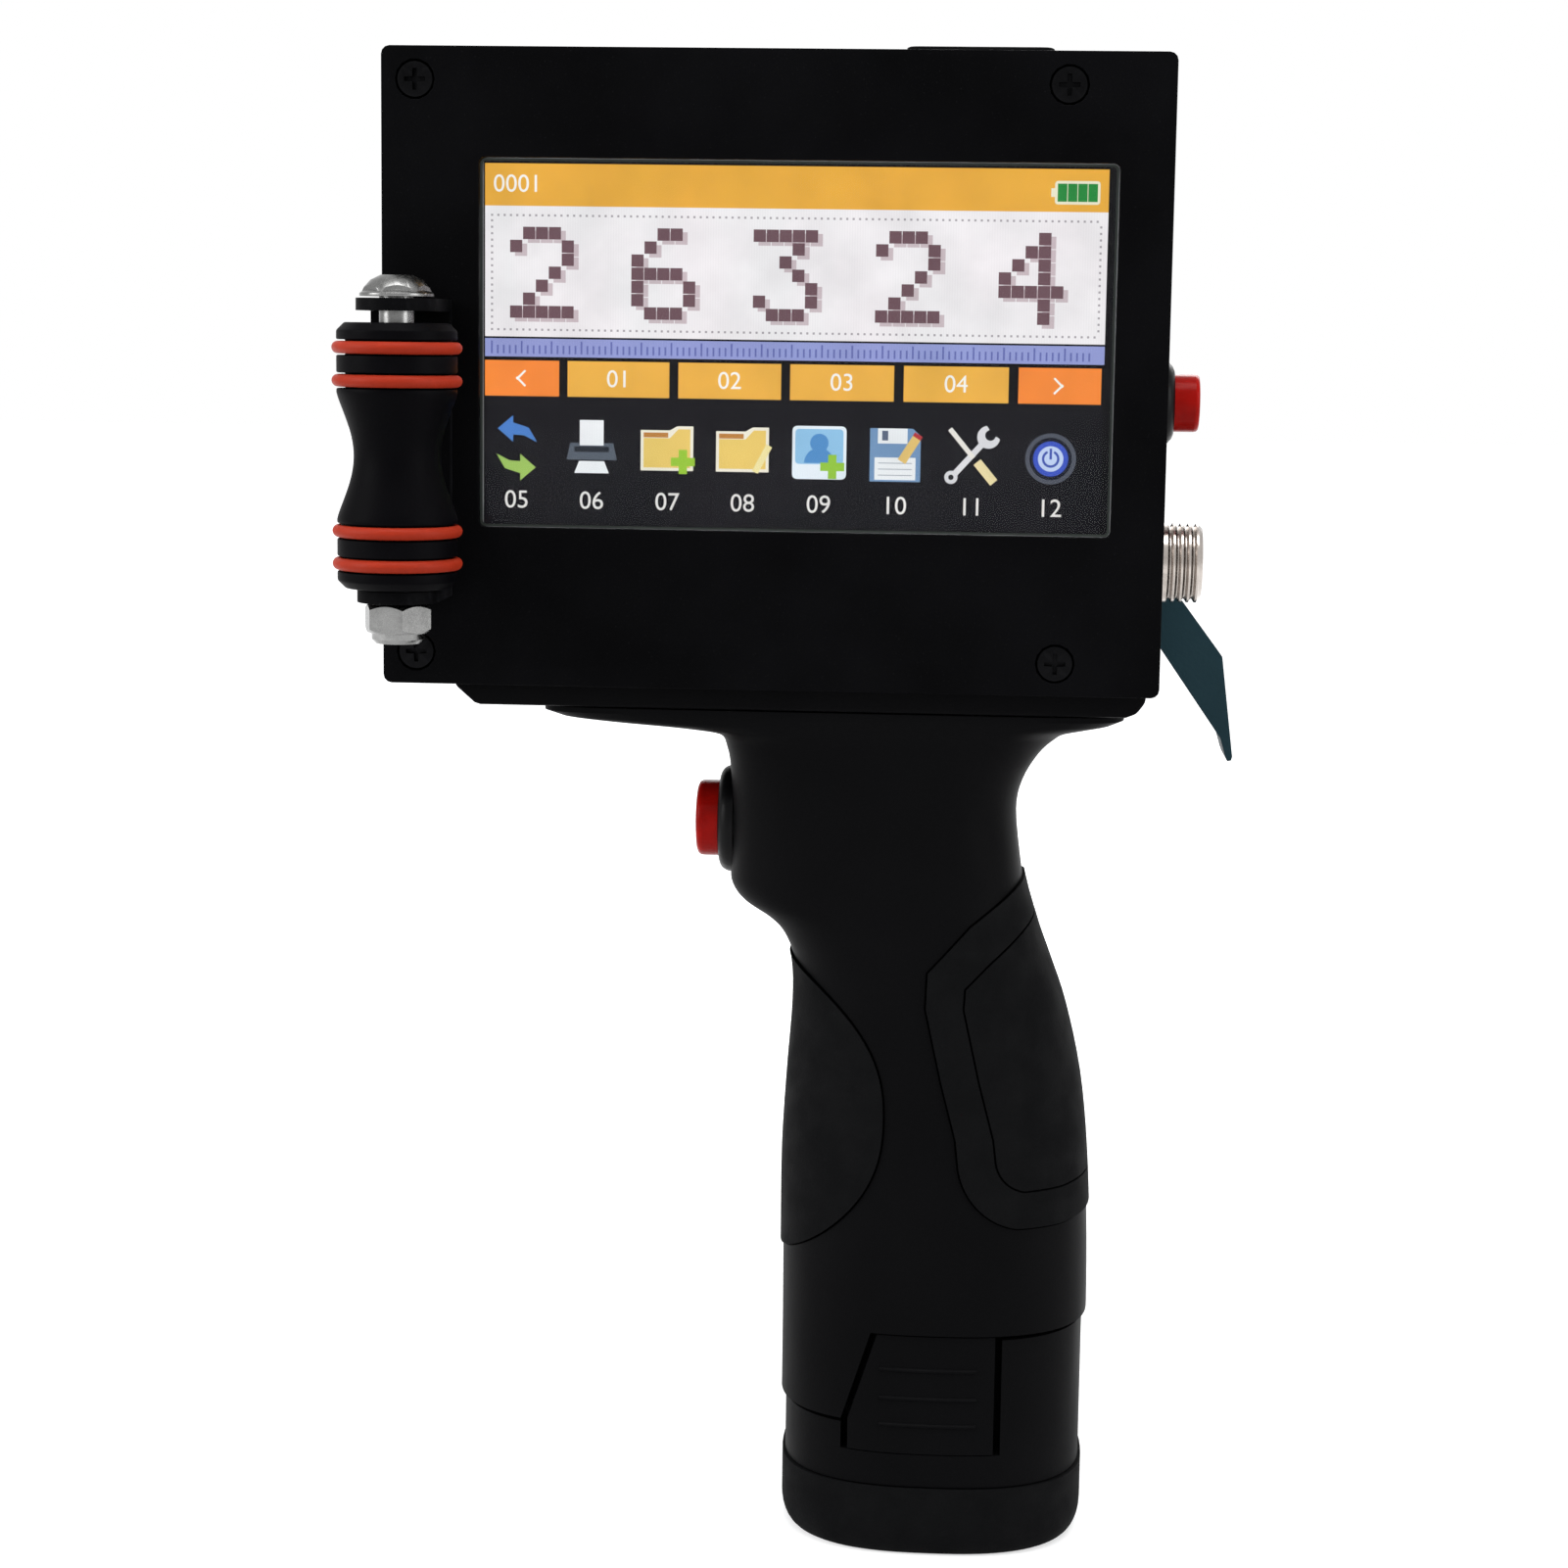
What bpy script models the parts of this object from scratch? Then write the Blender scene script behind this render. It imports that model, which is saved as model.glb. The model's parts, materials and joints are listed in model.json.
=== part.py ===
"""Handheld date code inkjet printer: pistol grip, touchscreen, guide roller, slide-in battery.

Metres, +Z up. The screen faces -Y. The nozzles, the roller and the trigger face -X.
The origin is on the ground, at the centre of the battery's foot.
"""

import math

import bmesh
import bpy
from mathutils import Matrix, Vector

MM = 0.001

# Clearances
gap = 0.3 * MM  # between neighbours that touch on the real object
press_gap = 0.25 * MM  # between a seal and its groove

# Box: front plate, case frame, rear cover
plate_width = 130.0 * MM
plate_height = 105.0 * MM
plate_thickness = 2.5 * MM
plate_corner = 1.4 * MM
plate_centre_x = -29.5 * MM
plate_bottom_z = 152.0 * MM
box_depth = 56.0 * MM
overhang = 1.0 * MM  # of the front plate past the case
case_wall = 2.5 * MM
case_corner = 3.0 * MM
cover_thickness = 3.0 * MM
post_size = 8.0 * MM
post_length = 9.5 * MM

# Screen
window_width = 105.0 * MM
window_height = 60.8 * MM
window_centre_x = plate_centre_x + 3.7 * MM
window_centre_z = plate_bottom_z + 56.8 * MM
glass_thickness = 1.8 * MM
glass_recess = 0.4 * MM
display_border = 3.6 * MM
display_thickness = 4.6 * MM

# Screws of the box
screw_inset_left = 5.6 * MM
screw_inset_right = 17.4 * MM
screw_inset_z = 5.4 * MM
screw_radius = 1.45 * MM
screw_head_radius = 3.0 * MM
screw_head_height = 1.7 * MM
screw_length = 9.0 * MM
cross_width = 0.8 * MM
cross_span = 3.4 * MM
cross_depth = 1.3 * MM

# Electronics
chassis_depth = 22.0 * MM  # behind the front of the plate
chassis_thickness = 1.5 * MM
board_width = 92.0 * MM
board_height = 78.0 * MM
board_thickness = 1.6 * MM
board_standoff = 6.4 * MM
board_left_gap = 17.0 * MM
# Place on the board as a share of its size, then width, height and thickness in millimetres
board_chips = (
    (0.30, 0.52, 16, 16, 1.4),
    (0.62, 0.60, 12, 18, 1.2),
    (0.70, 0.18, 22, 9, 3.2),
    (0.18, 0.16, 9, 12, 3.4),
)
wire_slot = (22.0 * MM, 12.0 * MM)
wire_slot_centre = (-15.0 * MM, -12.0 * MM)

# Cartridge bay
cartridge_length = 98.3 * MM
cartridge_height = 62.0 * MM
cartridge_depth = 22.0 * MM
cartridge_wall = 1.8 * MM
cartridge_cap_thickness = 2.5 * MM
snout_length = 8.7 * MM
snout_height = 26.0 * MM
snout_depth = 12.0 * MM
snout_centre_z = plate_bottom_z + 39.0 * MM
cartridge_bottom_z = plate_bottom_z + 14.0 * MM
stall_floor = 2.5 * MM
stall_rail = 3.2 * MM
contact_size = (24.0 * MM, 1.0 * MM, 28.0 * MM)
contact_inset = 12.0 * MM
nozzle_plate_thickness = 0.6 * MM
nozzle_plate_half = 22.0 * MM
nozzle_slot_half = (4.5 * MM, 11.5 * MM)

# Latch lever: a profile in the XZ plane, about its pin
latch_pin_inset = 7.0 * MM  # from the outside of the case
latch_pin_z = plate_bottom_z + 23.5 * MM
latch_pin_radius = 1.5 * MM
latch_inset = (6.2 * MM, 8.7 * MM)  # from the back of the chassis, and from the back of the case
latch_tip = (15.7 * MM, -13.4 * MM)  # past the case, and from the bottom of the plate
latch_boss_radius = 5.5 * MM
latch_nub_reach = 13.0 * MM
latch_nub_angle = math.radians(75.0)
latch_bar_half = 4.15 * MM
latch_ear = 2.7 * MM

# Guide roller
roller_x = plate_centre_x - 59.8 * MM
roller_z = (plate_bottom_z + 17.2 * MM, plate_bottom_z + 60.0 * MM)
roller_radius = 9.85 * MM
waist_radius = 7.05 * MM
waist_half_length = 10.2 * MM
roller_chamfer = 1.3 * MM
ring_section = 1.0 * MM
ring_stand = 0.8 * MM  # of the rings past the roller
ring_offsets = (12.1 * MM, 17.4 * MM)  # from the middle of the waist
bracket_thickness = 2.0 * MM
bracket_half_width = 6.6 * MM
bracket_base = 2.2 * MM
upper_lug_gap = 1.9 * MM
axle_radius = 2.85 * MM
bolt_across_flats = 10.0 * MM
bolt_head_height = 3.4 * MM
bolt_flange_radius = 6.0 * MM
nut_height = 6.4 * MM

# Controls on the right side
control_depth = 14.7 * MM  # behind the front of the plate
power_z = plate_bottom_z + 48.4 * MM
power_bezel_radius = 7.0 * MM
power_bezel_height = 2.4 * MM
power_cap_radius = 4.8 * MM
power_cap_height = 4.2 * MM
power_body_radius = 5.9 * MM
connector_z = plate_bottom_z + 21.6 * MM
connector_radius = 6.7 * MM
connector_length = 7.8 * MM
connector_bore = 5.1 * MM
thread_pitch = 1.6 * MM
thread_depth = 0.5 * MM

# Port cover on top
port_centre_x = plate_centre_x + 33.1 * MM
port_size = (24.2 * MM, 13.0 * MM, 1.8 * MM)
port_slot = (3.2 * MM, 10.2 * MM)  # behind the front of the case
port_rim = 4.0 * MM

# Saddle and handle
saddle_inset = 5.0 * MM  # from the front and the back of the box
saddle_half_depth = box_depth / 2 - saddle_inset
saddle_bottom_z = plate_bottom_z - 4.0 * MM
handle_wall = 2.6 * MM
handle_points = 32
neck_front_x = -37.4 * MM
trigger_z = 126.0 * MM
trigger_bezel_radius = 9.45 * MM
trigger_bezel_height = 2.2 * MM
trigger_cap_radius = 6.7 * MM
trigger_cap_height = 4.3 * MM
trigger_seat = 0.9 * MM
trigger_body_radius = 8.2 * MM
pad_thickness = 1.3 * MM
pad_seam = 0.35 * MM
boss_radius = 4.3 * MM
handle_screws = ((-15.5 * MM, 111.0 * MM), (-1.0 * MM, 131.0 * MM), (-7.2 * MM, 102.0 * MM))
handle_screw_seat = 13.6 * MM
handle_screw_length = 26.0 * MM

# Battery
battery_half = (26.4 * MM, 24.1 * MM)
foot_half = (26.9 * MM, 24.6 * MM)
foot_height = 12.4 * MM
rim_front_z = 24.0 * MM  # lower edge of the handle on the trigger side
rim_rear_z = 40.0 * MM  # lower edge of the handle on the other side
rim_slope_x = (-15.6 * MM, -10.6 * MM)
tower_half = (20.3 * MM, 19.0 * MM)
tower_top_z = 84.0 * MM
tower_wall = 1.0 * MM
cell_radius = 9.0 * MM
cell_length = 65.0 * MM
cell_bottom_z = 9.0 * MM
cell_centres = ((-9.3 * MM, 7.2 * MM), (9.3 * MM, 7.2 * MM), (0.0, -8.7 * MM))
tab_right_x = 11.0 * MM
tab_bottom_z = 18.6 * MM
tab_thickness = 1.7 * MM
tab_travel = 2.0 * MM
slot_width = 0.9 * MM
battery_points = 36

# Places that follow from the sizes above
plate_front_y = -box_depth / 2
case_front_y = plate_front_y + plate_thickness + gap
case_back_y = box_depth / 2 - cover_thickness - gap
plate_left = plate_centre_x - plate_width / 2
plate_right = plate_centre_x + plate_width / 2
plate_top_z = plate_bottom_z + plate_height
case_left = plate_left + overhang
case_right = plate_right - overhang
case_bottom_z = plate_bottom_z + overhang
case_top_z = plate_top_z - overhang
screw_xs = (plate_left + screw_inset_left, plate_right - screw_inset_right)
screw_zs = (plate_bottom_z + screw_inset_z, plate_top_z - screw_inset_z)
rear_screw_xs = (plate_left + screw_inset_left, plate_right - screw_inset_left)
chassis_y = plate_front_y + chassis_depth
stall_y = chassis_y + chassis_thickness + gap
cartridge_y = stall_y + stall_floor + gap
cartridge_right = case_left + 1.2 * MM + snout_length + cartridge_length
cartridge_left = cartridge_right - cartridge_length
cartridge_centre_y = cartridge_y + cartridge_depth / 2
ring_outer_radius = roller_radius + ring_stand
roller_y = plate_front_y - gap - bracket_base - 1.0 * MM - ring_outer_radius
roller_middle_z = (roller_z[0] + roller_z[1]) / 2
control_y = plate_front_y + control_depth
latch_pin_x = case_right - latch_pin_inset
latch_y = (stall_y + latch_inset[0], case_back_y - latch_inset[1])
latch_middle_y = (latch_y[0] + latch_y[1]) / 2
flange_top_z = saddle_bottom_z - gap
port_slot_y = (case_front_y + port_slot[0], case_front_y + port_slot[1])


def clear_scene():
    for obj in list(bpy.data.objects):
        bpy.data.objects.remove(obj, do_unlink=True)


def new_collection(name):
    collection = bpy.data.collections.new(name)
    bpy.context.scene.collection.children.link(collection)
    return collection


def material(name, colour, roughness, metallic=0.0):
    made = bpy.data.materials.new(name)
    made.use_nodes = True
    shader = made.node_tree.nodes["Principled BSDF"]
    shader.inputs["Base Color"].default_value = (*colour, 1.0)
    shader.inputs["Roughness"].default_value = roughness
    shader.inputs["Metallic"].default_value = metallic
    return made


clear_scene()
parts = new_collection("date_code_printer")
cutters = new_collection("cutters")
cutters.hide_render = True

powder_coat = material("powder_coat", (0.012, 0.012, 0.014), 0.45)
black_plastic = material("black_plastic", (0.018, 0.018, 0.019), 0.5)
black_rubber = material("black_rubber", (0.014, 0.014, 0.014), 0.75)
glass = material("glass", (0.02, 0.02, 0.025), 0.08)
circuit_green = material("circuit_green", (0.02, 0.12, 0.05), 0.5)
zinc = material("zinc", (0.72, 0.72, 0.70), 0.3, 1.0)
aluminium = material("aluminium", (0.60, 0.61, 0.62), 0.35, 1.0)
moulded_case = material("moulded_case", (0.016, 0.016, 0.017), 0.5)
grey_plastic = material("grey_plastic", (0.25, 0.25, 0.26), 0.5)
black_steel = material("black_steel", (0.03, 0.03, 0.03), 0.4, 1.0)
red_gloss = material("red_gloss", (0.65, 0.01, 0.01), 0.25)
orange_silicone = material("orange_silicone", (0.60, 0.09, 0.03), 0.5)
teal_plastic = material("teal_plastic", (0.02, 0.08, 0.10), 0.5)
copper = material("copper", (0.75, 0.45, 0.25), 0.3, 1.0)
cell_wrap = material("cell_wrap", (0.05, 0.12, 0.30), 0.5)


def place(name, mesh, finish, origin=(0.0, 0.0, 0.0), home=parts):
    """An object whose mesh is given in world space, with its own origin at the point given."""
    mesh.transform(Matrix.Translation(-Vector(origin)))
    obj = bpy.data.objects.new(name, mesh)
    obj.location = origin
    if finish is not None:
        mesh.materials.clear()
        mesh.materials.append(finish)
    home.objects.link(obj)
    return obj


def mesh_of(bm, name="shape"):
    bmesh.ops.recalc_face_normals(bm, faces=bm.faces)
    mesh = bpy.data.meshes.new(name)
    bm.to_mesh(mesh)
    bm.free()
    return mesh


def add_box(bm, low, high, radius=0.0, axis="Y", segments=3):
    """A box between two corners, with the four edges along an axis rounded."""
    size = [high[i] - low[i] for i in range(3)]
    centre = [(high[i] + low[i]) / 2 for i in range(3)]
    made = bmesh.ops.create_cube(bm, size=1.0)["verts"]
    bmesh.ops.scale(bm, vec=size, verts=made)
    bmesh.ops.translate(bm, vec=centre, verts=made)
    if radius > 0.0:
        along = "XYZ".index(axis)
        edges = {edge for vert in made for edge in vert.link_edges}
        spans = {edge: abs(edge.verts[0].co[along] - edge.verts[1].co[along]) for edge in edges}
        picked = [edge for edge in edges if spans[edge] > size[along] / 2]
        bmesh.ops.bevel(bm, geom=picked, offset=radius, segments=segments, affect="EDGES", profile=0.5)


def add_cylinder(bm, start, axis, length, radius, segments=32):
    """A cylinder from a start point along +X, +Y or +Z."""
    turn = {
        "X": Matrix.Rotation(math.pi / 2, 4, "Y"),
        "Y": Matrix.Rotation(-math.pi / 2, 4, "X"),
        "Z": Matrix(),
    }
    middle = Matrix.Translation(Vector(start)) @ turn[axis] @ Matrix.Translation((0, 0, length / 2))
    sizes = {"radius1": radius, "radius2": radius, "depth": length}
    bmesh.ops.create_cone(bm, cap_ends=True, segments=segments, matrix=middle, **sizes)


def box_mesh(low, high, radius=0.0, axis="Y", segments=3):
    bm = bmesh.new()
    add_box(bm, low, high, radius, axis, segments)
    return mesh_of(bm)


def cutter(mesh):
    obj = place("cutter", mesh, None, home=cutters)
    obj.hide_render = True
    obj.display_type = "WIRE"
    return obj


def boolean(obj, mesh, operation="DIFFERENCE"):
    """Joins, cuts or keeps with a mesh given in world space."""
    modifier = obj.modifiers.new(operation.lower(), "BOOLEAN")
    modifier.operation = operation
    modifier.object = cutter(mesh)
    return obj


def outline_mesh(points, axis, start, end):
    """A flat outline carried along an axis; the points give the other two coordinates in order."""
    curve = bpy.data.curves.new("outline", "CURVE")
    curve.dimensions = "2D"
    curve.fill_mode = "BOTH"
    curve.extrude = (end - start) / 2
    spline = curve.splines.new("POLY")
    spline.points.add(len(points) - 1)
    for point, (u, v) in zip(spline.points, points):
        point.co = (u, v, 0.0, 1.0)
    spline.use_cyclic_u = True
    obj = bpy.data.objects.new("outline", curve)
    bpy.context.scene.collection.objects.link(obj)
    depsgraph = bpy.context.evaluated_depsgraph_get()
    mesh = bpy.data.meshes.new_from_object(obj.evaluated_get(depsgraph))
    bpy.data.objects.remove(obj, do_unlink=True)
    middle = (start + end) / 2
    # The curve lies in its own XY plane: turn that plane square to the axis.
    turn = {
        "Y": Matrix(((1, 0, 0, 0), (0, 0, -1, middle), (0, 1, 0, 0), (0, 0, 0, 1))),
        "Z": Matrix.Translation((0, 0, middle)),
    }[axis]
    mesh.transform(turn)
    bm = bmesh.new()
    bm.from_mesh(mesh)
    bmesh.ops.remove_doubles(bm, verts=bm.verts, dist=1e-6)
    bpy.data.meshes.remove(mesh)
    return mesh_of(bm)


def arc(centre, radius, start, end, steps):
    """Points on an arc, with its angles in degrees."""
    angles = [math.radians(start + (end - start) * i / steps) for i in range(steps + 1)]
    return [(centre[0] + radius * math.cos(a), centre[1] + radius * math.sin(a)) for a in angles]


AXES = {
    "+Z": (0.0, 0.0, 0.0),
    "+X": (0.0, math.pi / 2, 0.0),
    "-X": (0.0, -math.pi / 2, 0.0),
    "-Y": (math.pi / 2, 0.0, 0.0),
    "+Y": (-math.pi / 2, 0.0, 0.0),
}


def turned(name, profile, finish, origin, axis="+Z", steps=32, closed=False, home=parts):
    """A profile of (radius, height) turned about an axis through the origin point.

    The profile runs down the outer side, from the axis' far end, and closes on itself if it is a ring.
    """
    mesh = bpy.data.meshes.new(name)
    count = len(profile)
    links = [(i, (i + 1) % count) for i in range(count if closed else count - 1)]
    links = [(a, b) for a, b in links if profile[a][0] > 0.0 or profile[b][0] > 0.0]
    mesh.from_pydata([(radius, 0.0, height) for radius, height in profile], links, [])
    obj = bpy.data.objects.new(name, mesh)
    obj.location = origin
    obj.rotation_euler = AXES[axis]
    mesh.materials.append(finish)
    home.objects.link(obj)
    screw = obj.modifiers.new("turn", "SCREW")
    screw.axis = "Z"
    screw.steps = steps
    screw.render_steps = steps
    screw.use_merge_vertices = True
    screw.merge_threshold = 0.00005
    screw.use_smooth_shade = True
    return obj


def baked(obj):
    """The object's evaluated mesh in world space, with the object removed."""
    depsgraph = bpy.context.evaluated_depsgraph_get()
    depsgraph.update()
    mesh = bpy.data.meshes.new_from_object(obj.evaluated_get(depsgraph))
    mesh.transform(obj.evaluated_get(depsgraph).matrix_world)
    bpy.data.objects.remove(obj, do_unlink=True)
    return mesh


def superellipse(centre_x, half_x, half_y, power, count):
    ring = []
    for i in range(count):
        angle = 2 * math.pi * (i + 0.5) / count
        cosine, sine = math.cos(angle), math.sin(angle)
        x = centre_x + half_x * math.copysign(abs(cosine) ** (2 / power), cosine)
        y = half_y * math.copysign(abs(sine) ** (2 / power), sine)
        ring.append((x, y))
    return ring


def loft(sections, count):
    """A closed skin through level sections: (z, left x, right x, half depth, power)."""
    bm = bmesh.new()
    rings = []
    for z, left, right, half_y, power in sections:
        points = superellipse((left + right) / 2, (right - left) / 2, half_y, power, count)
        rings.append([bm.verts.new((x, y, z)) for x, y in points])
    for upper, lower in zip(rings, rings[1:]):
        for i in range(count):
            j = (i + 1) % count
            bm.faces.new((upper[i], upper[j], lower[j], lower[i]))
    bm.faces.new(rings[0])
    bm.faces.new(rings[-1])
    return mesh_of(bm)


def straight(z_top, z_bottom, half, power, count):
    sections = [(z, -half[0], half[0], half[1], power) for z in (z_top, z_bottom)]
    return loft(sections, count)


# ---------------------------------------------------------------- box


def cross_recess(centre, depth, facing=-1):
    """A cross-shaped cutter for a screw's drive, in a head that faces -Y or +Y."""
    x, y, z = centre
    root, tip, span = cross_width / 2, cross_width * 0.38, cross_span / 2
    quarter = [(span, tip), (root, root), (tip, span)]
    points = []
    for turn in range(4):
        cosine, sine = round(math.cos(turn * math.pi / 2)), round(math.sin(turn * math.pi / 2))
        points += [(x + u * cosine - v * sine, z + u * sine + v * cosine) for u, v in quarter]
    ends = sorted((y + facing * MM, y - facing * depth))
    return outline_mesh(points, "Y", ends[0], ends[1])


def countersunk_screw(name, x, y, z, facing):
    """A countersunk screw whose head is flush with the face at y."""
    profile = [
        (0.0, 0.0),
        (screw_head_radius, 0.0),
        (screw_head_radius, -0.3 * MM),
        (screw_radius, -screw_head_height),
        (screw_radius, -screw_length),
        (0.0, -screw_length),
    ]
    axis = "-Y" if facing < 0 else "+Y"
    obj = turned(name, profile, black_steel, (x, y, z), axis, steps=14)
    return boolean(obj, cross_recess((x, y, z), cross_depth, facing))


def countersink(x, y, z, facing):
    """The hole for a countersunk screw, clear of it by the gap all round."""
    inward = -facing
    profile = [
        (0.0, MM),
        (screw_head_radius + gap, MM),
        (screw_head_radius + gap, -0.3 * MM - gap),
        (screw_radius + gap, -screw_head_height - gap),
        (screw_radius + gap, -screw_length - gap),
        (0.0, -screw_length - gap),
    ]
    axis = "-Y" if facing < 0 else "+Y"
    start = (x, y + inward * 0.1 * MM, z)
    hole = turned("hole", profile, black_steel, start, axis, steps=14, home=cutters)
    return baked(hole)


def front_plate():
    mesh = box_mesh(
        (plate_left, plate_front_y, plate_bottom_z),
        (plate_right, plate_front_y + plate_thickness, plate_top_z),
        plate_corner,
    )
    obj = place("front_plate", mesh, powder_coat, (plate_centre_x, plate_front_y, plate_bottom_z))
    boolean(
        obj,
        box_mesh(
            (window_centre_x - window_width / 2, plate_front_y - MM, window_centre_z - window_height / 2),
            (window_centre_x + window_width / 2, plate_front_y + 5 * MM, window_centre_z + window_height / 2),
            1.0 * MM,
        ),
    )
    for x in screw_xs:
        for z in screw_zs:
            boolean(obj, countersink(x, plate_front_y, z, -1))
    for z in bracket_screw_zs():
        bm = bmesh.new()
        add_cylinder(bm, (roller_x, plate_front_y - MM, z), "Y", 5 * MM, screw_radius + gap, 16)
        boolean(obj, mesh_of(bm))
    return obj


def plate_screws():
    number = 1
    for z in reversed(screw_zs):
        for x in screw_xs:
            countersunk_screw(f"plate_screw_{number}", x, plate_front_y, z, -1)
            number += 1


def touch_glass():
    half_w, half_h = window_width / 2 - gap, window_height / 2 - gap
    front = plate_front_y + glass_recess
    mesh = box_mesh(
        (window_centre_x - half_w, front, window_centre_z - half_h),
        (window_centre_x + half_w, front + glass_thickness, window_centre_z + half_h),
        0.8 * MM,
    )
    place("touch_glass", mesh, glass, (window_centre_x, front, window_centre_z))


def display_module():
    half_w, half_h = window_width / 2 + display_border, window_height / 2 + display_border
    mesh = box_mesh(
        (window_centre_x - half_w, case_front_y, window_centre_z - half_h),
        (window_centre_x + half_w, case_front_y + display_thickness, window_centre_z + half_h),
        1.0 * MM,
    )
    place("display_module", mesh, grey_plastic, (window_centre_x, case_front_y, window_centre_z))


def add_wire_slot(bm, low, high):
    """The passage for wires between the box and the handle."""
    x, y = wire_slot_centre
    half_x, half_y = wire_slot[0] / 2, wire_slot[1] / 2
    add_box(bm, (x - half_x, y - half_y, low), (x + half_x, y + half_y, high))


def case_frame():
    low = (case_left, case_front_y, case_bottom_z)
    high = (case_right, case_back_y, case_top_z)
    body = box_mesh(low, high, case_corner, segments=4)
    obj = place("case_frame", body, moulded_case, (plate_centre_x, 0, case_bottom_z))
    inner_low = (case_left + case_wall, case_front_y - MM, case_bottom_z + case_wall)
    inner_high = (case_right - case_wall, case_back_y + MM, case_top_z - case_wall)
    boolean(obj, box_mesh(inner_low, inner_high))
    posts = bmesh.new()
    half, into = post_size / 2, 0.6 * MM
    bottoms = (inner_low[2] - into, screw_zs[0] + half)
    tops = (screw_zs[1] - half, inner_high[2] + into)
    for z0, z1 in (bottoms, tops):
        for x in screw_xs:
            add_box(posts, (x - half, case_front_y, z0), (x + half, case_front_y + post_length, z1))
        for x in rear_screw_xs:
            add_box(posts, (x - half, case_back_y - post_length, z0), (x + half, case_back_y, z1))
    boolean(obj, mesh_of(posts), "UNION")
    for x in screw_xs:
        for z in screw_zs:
            boolean(obj, countersink(x, plate_front_y, z, -1))
    for x in rear_screw_xs:
        for z in screw_zs:
            boolean(obj, countersink(x, box_depth / 2, z, 1))
    holes = bmesh.new()
    snout_half = snout_height / 2 + gap
    snout_y = cartridge_centre_y - snout_depth / 2 - gap
    add_box(
        holes,
        (case_left - MM, snout_y, snout_centre_z - snout_half),
        (case_left + case_wall + 0.5 * MM, case_back_y + MM, snout_centre_z + snout_half),
    )
    wall_x = case_right - case_wall - 0.5 * MM
    add_cylinder(holes, (wall_x, control_y, power_z), "X", 5 * MM, power_body_radius + gap, 24)
    add_cylinder(holes, (wall_x, control_y, connector_z), "X", 5 * MM, power_body_radius + gap, 24)
    add_box(
        holes,
        (wall_x, latch_y[0] - gap, latch_pin_z - 18.0 * MM),
        (wall_x + 5 * MM, latch_y[1] + gap, latch_pin_z + 14.5 * MM),
    )
    port_x = port_size[0] / 2 - port_rim
    add_box(
        holes,
        (port_centre_x - port_x, port_slot_y[0], case_top_z - case_wall - 0.5 * MM),
        (port_centre_x + port_x, port_slot_y[1], case_top_z + MM),
    )
    add_wire_slot(holes, case_bottom_z - MM, case_bottom_z + case_wall + 0.5 * MM)
    boolean(obj, mesh_of(holes))
    return obj


def chassis_plate():
    low = (case_left + case_wall + gap, chassis_y, case_bottom_z + case_wall + gap)
    high = (case_right - case_wall - gap, chassis_y + chassis_thickness, case_top_z - case_wall - gap)
    origin = (plate_centre_x, chassis_y, case_bottom_z)
    obj = place("chassis_plate", box_mesh(low, high), grey_plastic, origin)
    left = low[0] + board_left_gap
    middle_z = window_centre_z
    studs = bmesh.new()
    for x in (left + 5 * MM, left + board_width - 5 * MM):
        for z in (middle_z - board_height / 2 + 5 * MM, middle_z + board_height / 2 - 5 * MM):
            start = (x, chassis_y - board_standoff, z)
            add_cylinder(studs, start, "Y", board_standoff + 0.5 * MM, 3.0 * MM, 12)
    return boolean(obj, mesh_of(studs), "UNION")


def main_board():
    left = case_left + case_wall + gap + board_left_gap
    back = chassis_y - board_standoff - gap
    bottom = window_centre_z - board_height / 2
    low = (left, back - board_thickness, bottom)
    high = (left + board_width, back, bottom + board_height)
    obj = place("main_board", box_mesh(low, high), circuit_green, (left, back, bottom))
    chips = bmesh.new()
    for u, v, w, h, t in board_chips:
        x, z = left + u * board_width, bottom + v * board_height
        add_box(chips, (x, low[1] - t * MM, z), (x + w * MM, low[1] + 0.2 * MM, z + h * MM))
    return boolean(obj, mesh_of(chips), "UNION")


def port_cover():
    half_x = port_size[0] / 2
    front = case_front_y + 0.4 * MM
    low = (port_centre_x - half_x, front, case_top_z + gap)
    high = (port_centre_x + half_x, front + port_size[1], case_top_z + port_size[2])
    lid = box_mesh(low, high, 2.0 * MM, "Z")
    obj = place("port_cover", lid, black_rubber, (port_centre_x, front, case_top_z))
    plug_x = half_x - port_rim - gap
    boolean(
        obj,
        box_mesh(
            (port_centre_x - plug_x, port_slot_y[0] + gap, case_top_z - 2.2 * MM),
            (port_centre_x + plug_x, port_slot_y[1] - gap, case_top_z + 1.0 * MM),
        ),
        "UNION",
    )


def rear_cover():
    low = (case_left, case_back_y + gap, case_bottom_z)
    high = (case_right, box_depth / 2, case_top_z)
    body = box_mesh(low, high, case_corner, segments=4)
    obj = place("rear_cover", body, moulded_case, (plate_centre_x, box_depth / 2, case_bottom_z))
    cut = bmesh.new()
    top = cartridge_bottom_z + cartridge_height
    add_box(
        cut,
        (cartridge_left - 2 * gap, low[1] - MM, cartridge_bottom_z - 2 * gap),
        (cartridge_right + 2 * gap, high[1] + MM, top + 2 * gap),
    )
    boolean(obj, mesh_of(cut))
    half = snout_height / 2 + 2 * gap
    boolean(
        obj,
        box_mesh(
            (case_left - MM, low[1] - MM, snout_centre_z - half),
            (cartridge_left + MM, high[1] + MM, snout_centre_z + half),
        ),
    )
    for x in rear_screw_xs:
        for z in screw_zs:
            boolean(obj, countersink(x, box_depth / 2, z, 1))


def rear_screws():
    number = 1
    for z in reversed(screw_zs):
        for x in rear_screw_xs:
            countersunk_screw(f"rear_screw_{number}", x, box_depth / 2, z, 1)
            number += 1


# ---------------------------------------------------------------- cartridge bay


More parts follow.
